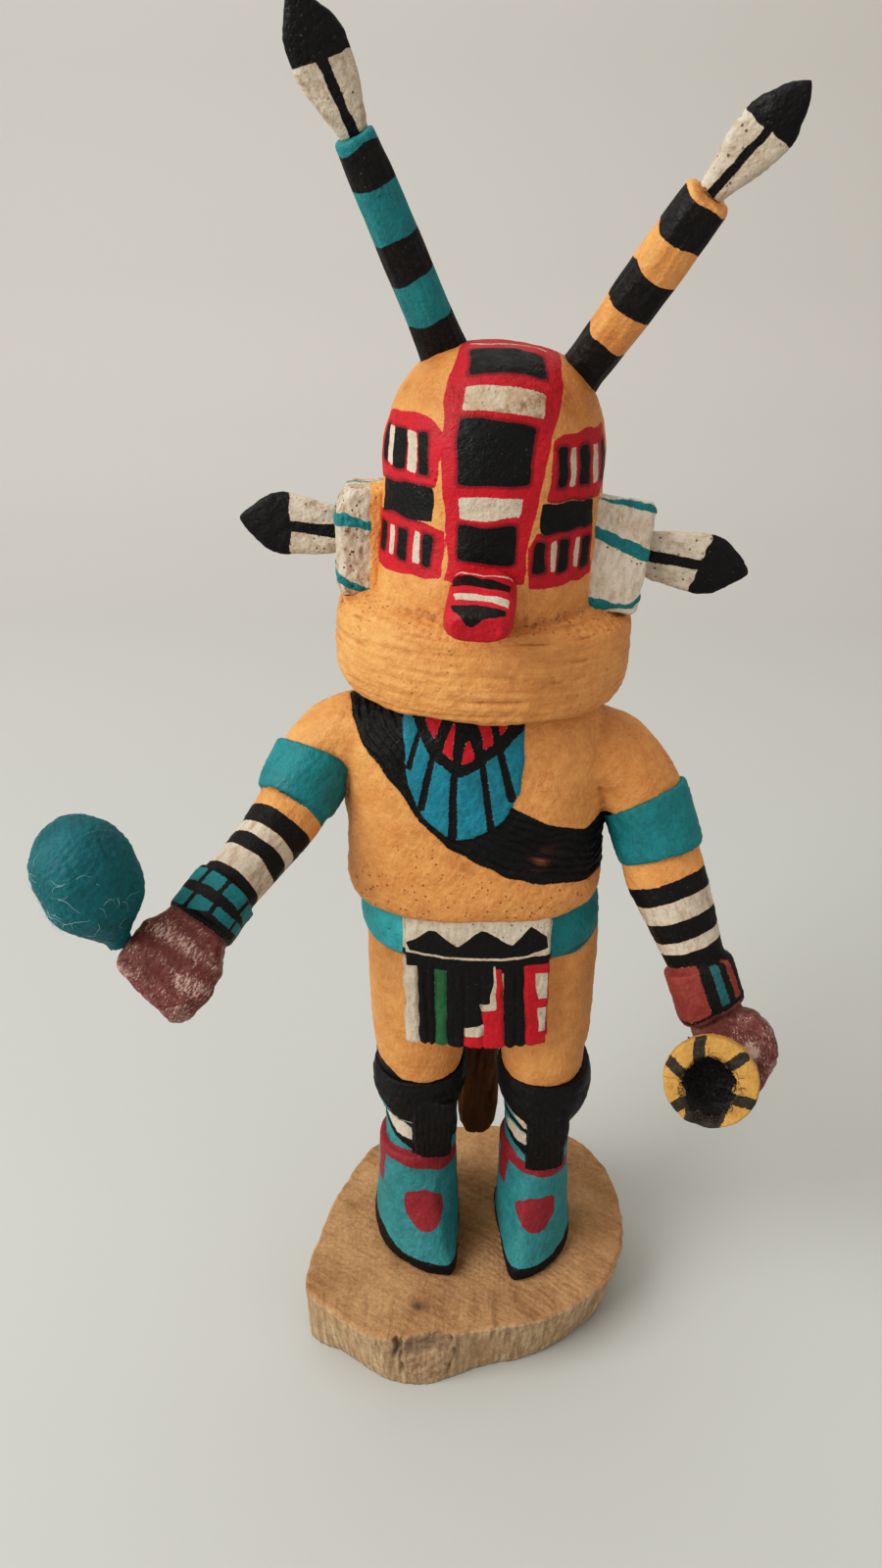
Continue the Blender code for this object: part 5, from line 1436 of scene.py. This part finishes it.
def hairs(name, bed, crowd, sizes, leans, steps, seed, finish, part):
    """Hairs grown on a bed of faces by a Geometry Nodes tree. Crowd is hairs to a square
    millimetre, sizes the length, half width, bend and wave in millimetres, leans in degrees."""
    tree = bpy.data.node_groups.new(name, "GeometryNodeTree")
    tree.interface.new_socket(name="Bed", in_out="INPUT", socket_type="NodeSocketGeometry")
    tree.interface.new_socket(name="Hairs", in_out="OUTPUT", socket_type="NodeSocketGeometry")
    length, half_width, bend, wave = (size * mm for size in sizes)
    least_lean, most_lean = (math.radians(lean) for lean in leans)
    settings = {"Crowd": crowd / mm ** 2, "Length": length, "Half width": half_width, "Bend": bend,
                "Wave": wave, "Least lean": least_lean, "Most lean": most_lean}
    sockets = {label: tree.interface.new_socket(name=label, in_out="INPUT",
                                                socket_type="NodeSocketFloat").identifier
               for label in settings}
    given = node(tree, "NodeGroupInput").outputs
    spread = node(tree, "GeometryNodeDistributePointsOnFaces",
                  {"Mesh": given["Bed"], "Density": given["Crowd"], "Seed": seed})
    hair = node(tree, "GeometryNodeMeshCone", {
        "Vertices": 4, "Side Segments": steps, "Radius Bottom": given["Half width"],
        "Radius Top": times(tree, given["Half width"], 0.35), "Depth": given["Length"]})
    height = node(tree, "ShaderNodeSeparateXYZ", {
        0: node(tree, "GeometryNodeInputPosition").outputs[0]}).outputs["Z"]
    share = worked_out(tree, "DIVIDE", height, given["Length"])
    arch = times(tree, times(tree, share, share), given["Bend"])
    sway = times(tree, worked_out(tree, "SINE", times(tree, share, 5.0)), given["Wave"])
    bent = node(tree, "GeometryNodeSetPosition", {
        "Geometry": hair.outputs["Mesh"], "Offset": node(tree, "ShaderNodeCombineXYZ", {
            "X": arch, "Y": sway}).outputs[0]})
    turn = node(tree, "FunctionNodeRandomValue", {
        0: node(tree, "ShaderNodeCombineXYZ", {"Y": given["Least lean"]}).outputs[0],
        1: node(tree, "ShaderNodeCombineXYZ", {"Y": given["Most lean"], "Z": math.tau}).outputs[0],
        "Seed": seed + 1}, data_type="FLOAT_VECTOR")
    turned = node(tree, "FunctionNodeRotateRotation", {
        "Rotation": spread.outputs["Rotation"],
        "Rotate By": node(tree, "FunctionNodeEulerToRotation", {0: turn.outputs[0]}).outputs[0]},
        rotation_space="LOCAL")
    grown = node(tree, "FunctionNodeRandomValue", {2: 0.55, 3: 1.25, "Seed": seed + 2},
                 data_type="FLOAT")
    planted = node(tree, "GeometryNodeInstanceOnPoints", {
        "Points": spread.outputs["Points"], "Instance": bent.outputs[0],
        "Rotation": turned.outputs[0], "Scale": grown.outputs[1]})
    real = node(tree, "GeometryNodeRealizeInstances", {0: planted.outputs[0]})
    coloured = node(tree, "GeometryNodeSetMaterial", {"Geometry": real.outputs[0],
                                                      "Material": finish})
    tree.links.new(coloured.outputs[0], node(tree, "NodeGroupOutput").inputs["Hairs"])
    ground = bpy.data.objects.new("bed", bed)
    bpy.context.scene.collection.objects.link(ground)
    growing = ground.modifiers.new("growing", "NODES")
    growing.node_group = tree
    for label, value in settings.items():
        growing[sockets[label]] = value
    tuft = bpy.data.meshes.new_from_object(
        ground.evaluated_get(bpy.context.evaluated_depsgraph_get()))
    bpy.data.objects.remove(ground)
    put_on(name, tuft, finish, part)


lint, shader = new_finish("pale_lint")
shader.inputs["Base Color"].default_value = (0.42, 0.62, 0.60, 1.0)
shader.inputs["Roughness"].default_value = 0.8
for number, (place, reach, crowd) in enumerate((((-75.0, -47.5, 135.5), 4.5, 0.9),
                                                ((-66.0, -52.0, 138.0), 8.0, 0.16),
                                                ((-76.0, -46.0, 147.0), 5.0, 0.16))):
    near = np.linalg.norm(points - place, axis=1) < reach
    hairs(f"gourd_lint_{number + 1}", bedding(gourd_mesh, points + 0.08 * directions, near), crowd,
          (3.6, 0.034, 0.6, 0.4), (84, 92), 8, 155 + number, lint, "gourd_rattle")


# ---------------------------------------------------------------- blossom
# A turned disc with a hollowed heart is glued into the left fist. Its face is yellow with dark
# rays, and black flocking stands in and around the heart.

paints["yellow"] = (light(164, 120, 58), light(204, 160, 90))
paints["ray grey"] = (light(26, 23, 19), light(70, 63, 52))
blossom_face = np.array((-0.17, -0.92, 0.35))
blossom_face /= np.linalg.norm(blossom_face)
blossom_centre, blossom_radius = np.array((47.6, -34.0, 91.0)), 9.5
blossom_right = np.cross((0, 0, 1), blossom_face)
blossom_right /= np.linalg.norm(blossom_right)
blossom_up = np.cross(blossom_face, blossom_right)
blossom_profile = [(-9.0, 3.0), (-5.0, 3.4), (-4.0, 8.2), (-2.4, 9.5), (-0.6, blossom_radius),
                   (0.0, 9.2), (0.0, 5.6), (-0.8, 4.7), (-2.2, 3.2), (-2.8, 1.0)]
run = np.append(0.0, np.cumsum(np.linalg.norm(np.diff(blossom_profile, axis=0), axis=1)))
turning = np.arange(140) / 140 * math.tau
rings = np.array([
    blossom_centre + blossom_face * h + r * (np.cos(turning)[:, None] * blossom_right
                                             + np.sin(turning)[:, None] * blossom_up)
    for h, r in np.column_stack([np.interp(np.linspace(0, run[-1], 80), run, column)
                                 for column in zip(*blossom_profile)])])
blossom_mesh = blended([rings], 0.26, 3)
points, directions, ridges = measured(blossom_mesh)
disc = np.column_stack([(points - blossom_centre) @ blossom_right,
                        (points - blossom_centre) @ blossom_up])
depth = (points - blossom_centre) @ blossom_face
disc += 0.16 * wander(points, 2.5, 161)
coat = new_coat(points, ("ray grey", "black"))
on_face = depth + 1.0
for start, end, width in (((-2.8, 4.0), (-3.0, 9.6), 2.1), ((2.4, 3.0), (5.6, 6.2), 2.0),
                          ((4.0, -2.7), (10.2, -3.2), 2.1), ((-5.0, 0.6), (-9.8, 4.0), 2.0),
                          ((-4.2, -4.2), (-7.6, -6.8), 1.9)):
    brush(coat, "ray grey", np.minimum(stroke(disc, [start, end], width), on_face))
brush(coat, "ray grey", np.minimum(on_face, within(disc, [
    (-4.0, -4.0), (-4.6, -9.4), (-2.2, -12), (1.8, -12), (2.6, -8.6), (4.2, -3.4)])))
heart = 5.1 + 0.6 * unevenness(np.column_stack([disc, 0 * depth]), 3.0, 163) - np.hypot(
    disc[:, 0] + 0.5, (disc[:, 1] + 1.0) * 0.88)
brush(coat, "black", np.minimum(heart, depth + 6.0))
relief = ripples(points, 164, (0.10, 3.5), (0.05, 1.3))
points = points + directions * (relief - 0.04)[:, None]
blossom_paint = painted("blossom_paint", "yellow", ("ray grey", "black"), 0.25, shift=1.7,
                        wobble=0.2)
around_disc = np.column_stack([np.hypot(disc[:, 0], disc[:, 1]) * 0.4, depth, 6.0 * np.arctan2(
    disc[:, 1], disc[:, 0])])
keep_coat(blossom_mesh, coat, ridges + relief, around_disc, 0.3, 0.03)
carved_piece("yellow_blossom", blossom_mesh, points, "yellow_blossom", blossom_paint)

flock, shader = new_finish("black_flock")
shader.inputs["Base Color"].default_value = (0.012, 0.011, 0.010, 1.0)
shader.inputs["Roughness"].default_value = 0.9
to_front = (depth > -3.4) & (directions @ blossom_face > -0.2)
for name, nearest, furthest, crowd, sizes, leans in (
        ("heart_bristles", -9.0, -0.6, 4.5, (1.4, 0.07, 0.5, 0.1), (0, 60)),
        ("edge_bristles", -0.6, 1.0, 6.0, (1.3, 0.05, 0.4, 0.15), (40, 85))):
    bed = bedding(blossom_mesh, points, to_front & (-heart > nearest) & (-heart < furthest))
    hairs(name, bed, crowd, sizes, leans, 3, 166, flock, "yellow_blossom")


# ---------------------------------------------------------------- fox tail
# The fox pelt that hangs from the belt behind is a long rounded strip of wood. It is scored
# along its length to look like fur, and stained brown.

paints["fur"] = (light(84, 48, 22), light(136, 88, 46))
tail_stations = [((1.2, 16.4, 103.0), 4.2, 1.6), ((1.2, 17.0, 99.0), 4.9, 2.3),
                 ((1.2, 17.0, 80.0), 5.2, 2.5), ((1.2, 16.0, 60.0), 5.4, 2.7),
                 ((1.2, 14.8, 42.0), 5.3, 2.7), ((1.2, 14.4, 35.0), 4.5, 2.4),
                 ((1.2, 14.2, 31.5), 2.8, 1.6)]
tail_mesh = blended([limb(tail_stations, 2.3)], 0.28, 3)
points, directions, ridges = measured(tail_mesh)
strands = points * np.array((1.0, 1.0, 0.10))
relief = ripples(strands, 171, (0.16, 1.3), (0.09, 0.7)) + 0.12 * unevenness(points, 6.0, 173)
points = points + directions * (relief - 0.1)[:, None]
tail_stain = painted("fox_tail_stain", "fur", (), 0.2, shift=2.1)
keep_coat(tail_mesh, {}, ridges + 1.5 * relief, strands, 0.3)
carved_piece("fox_tail", tail_mesh, points, "fox_tail", tail_stain)
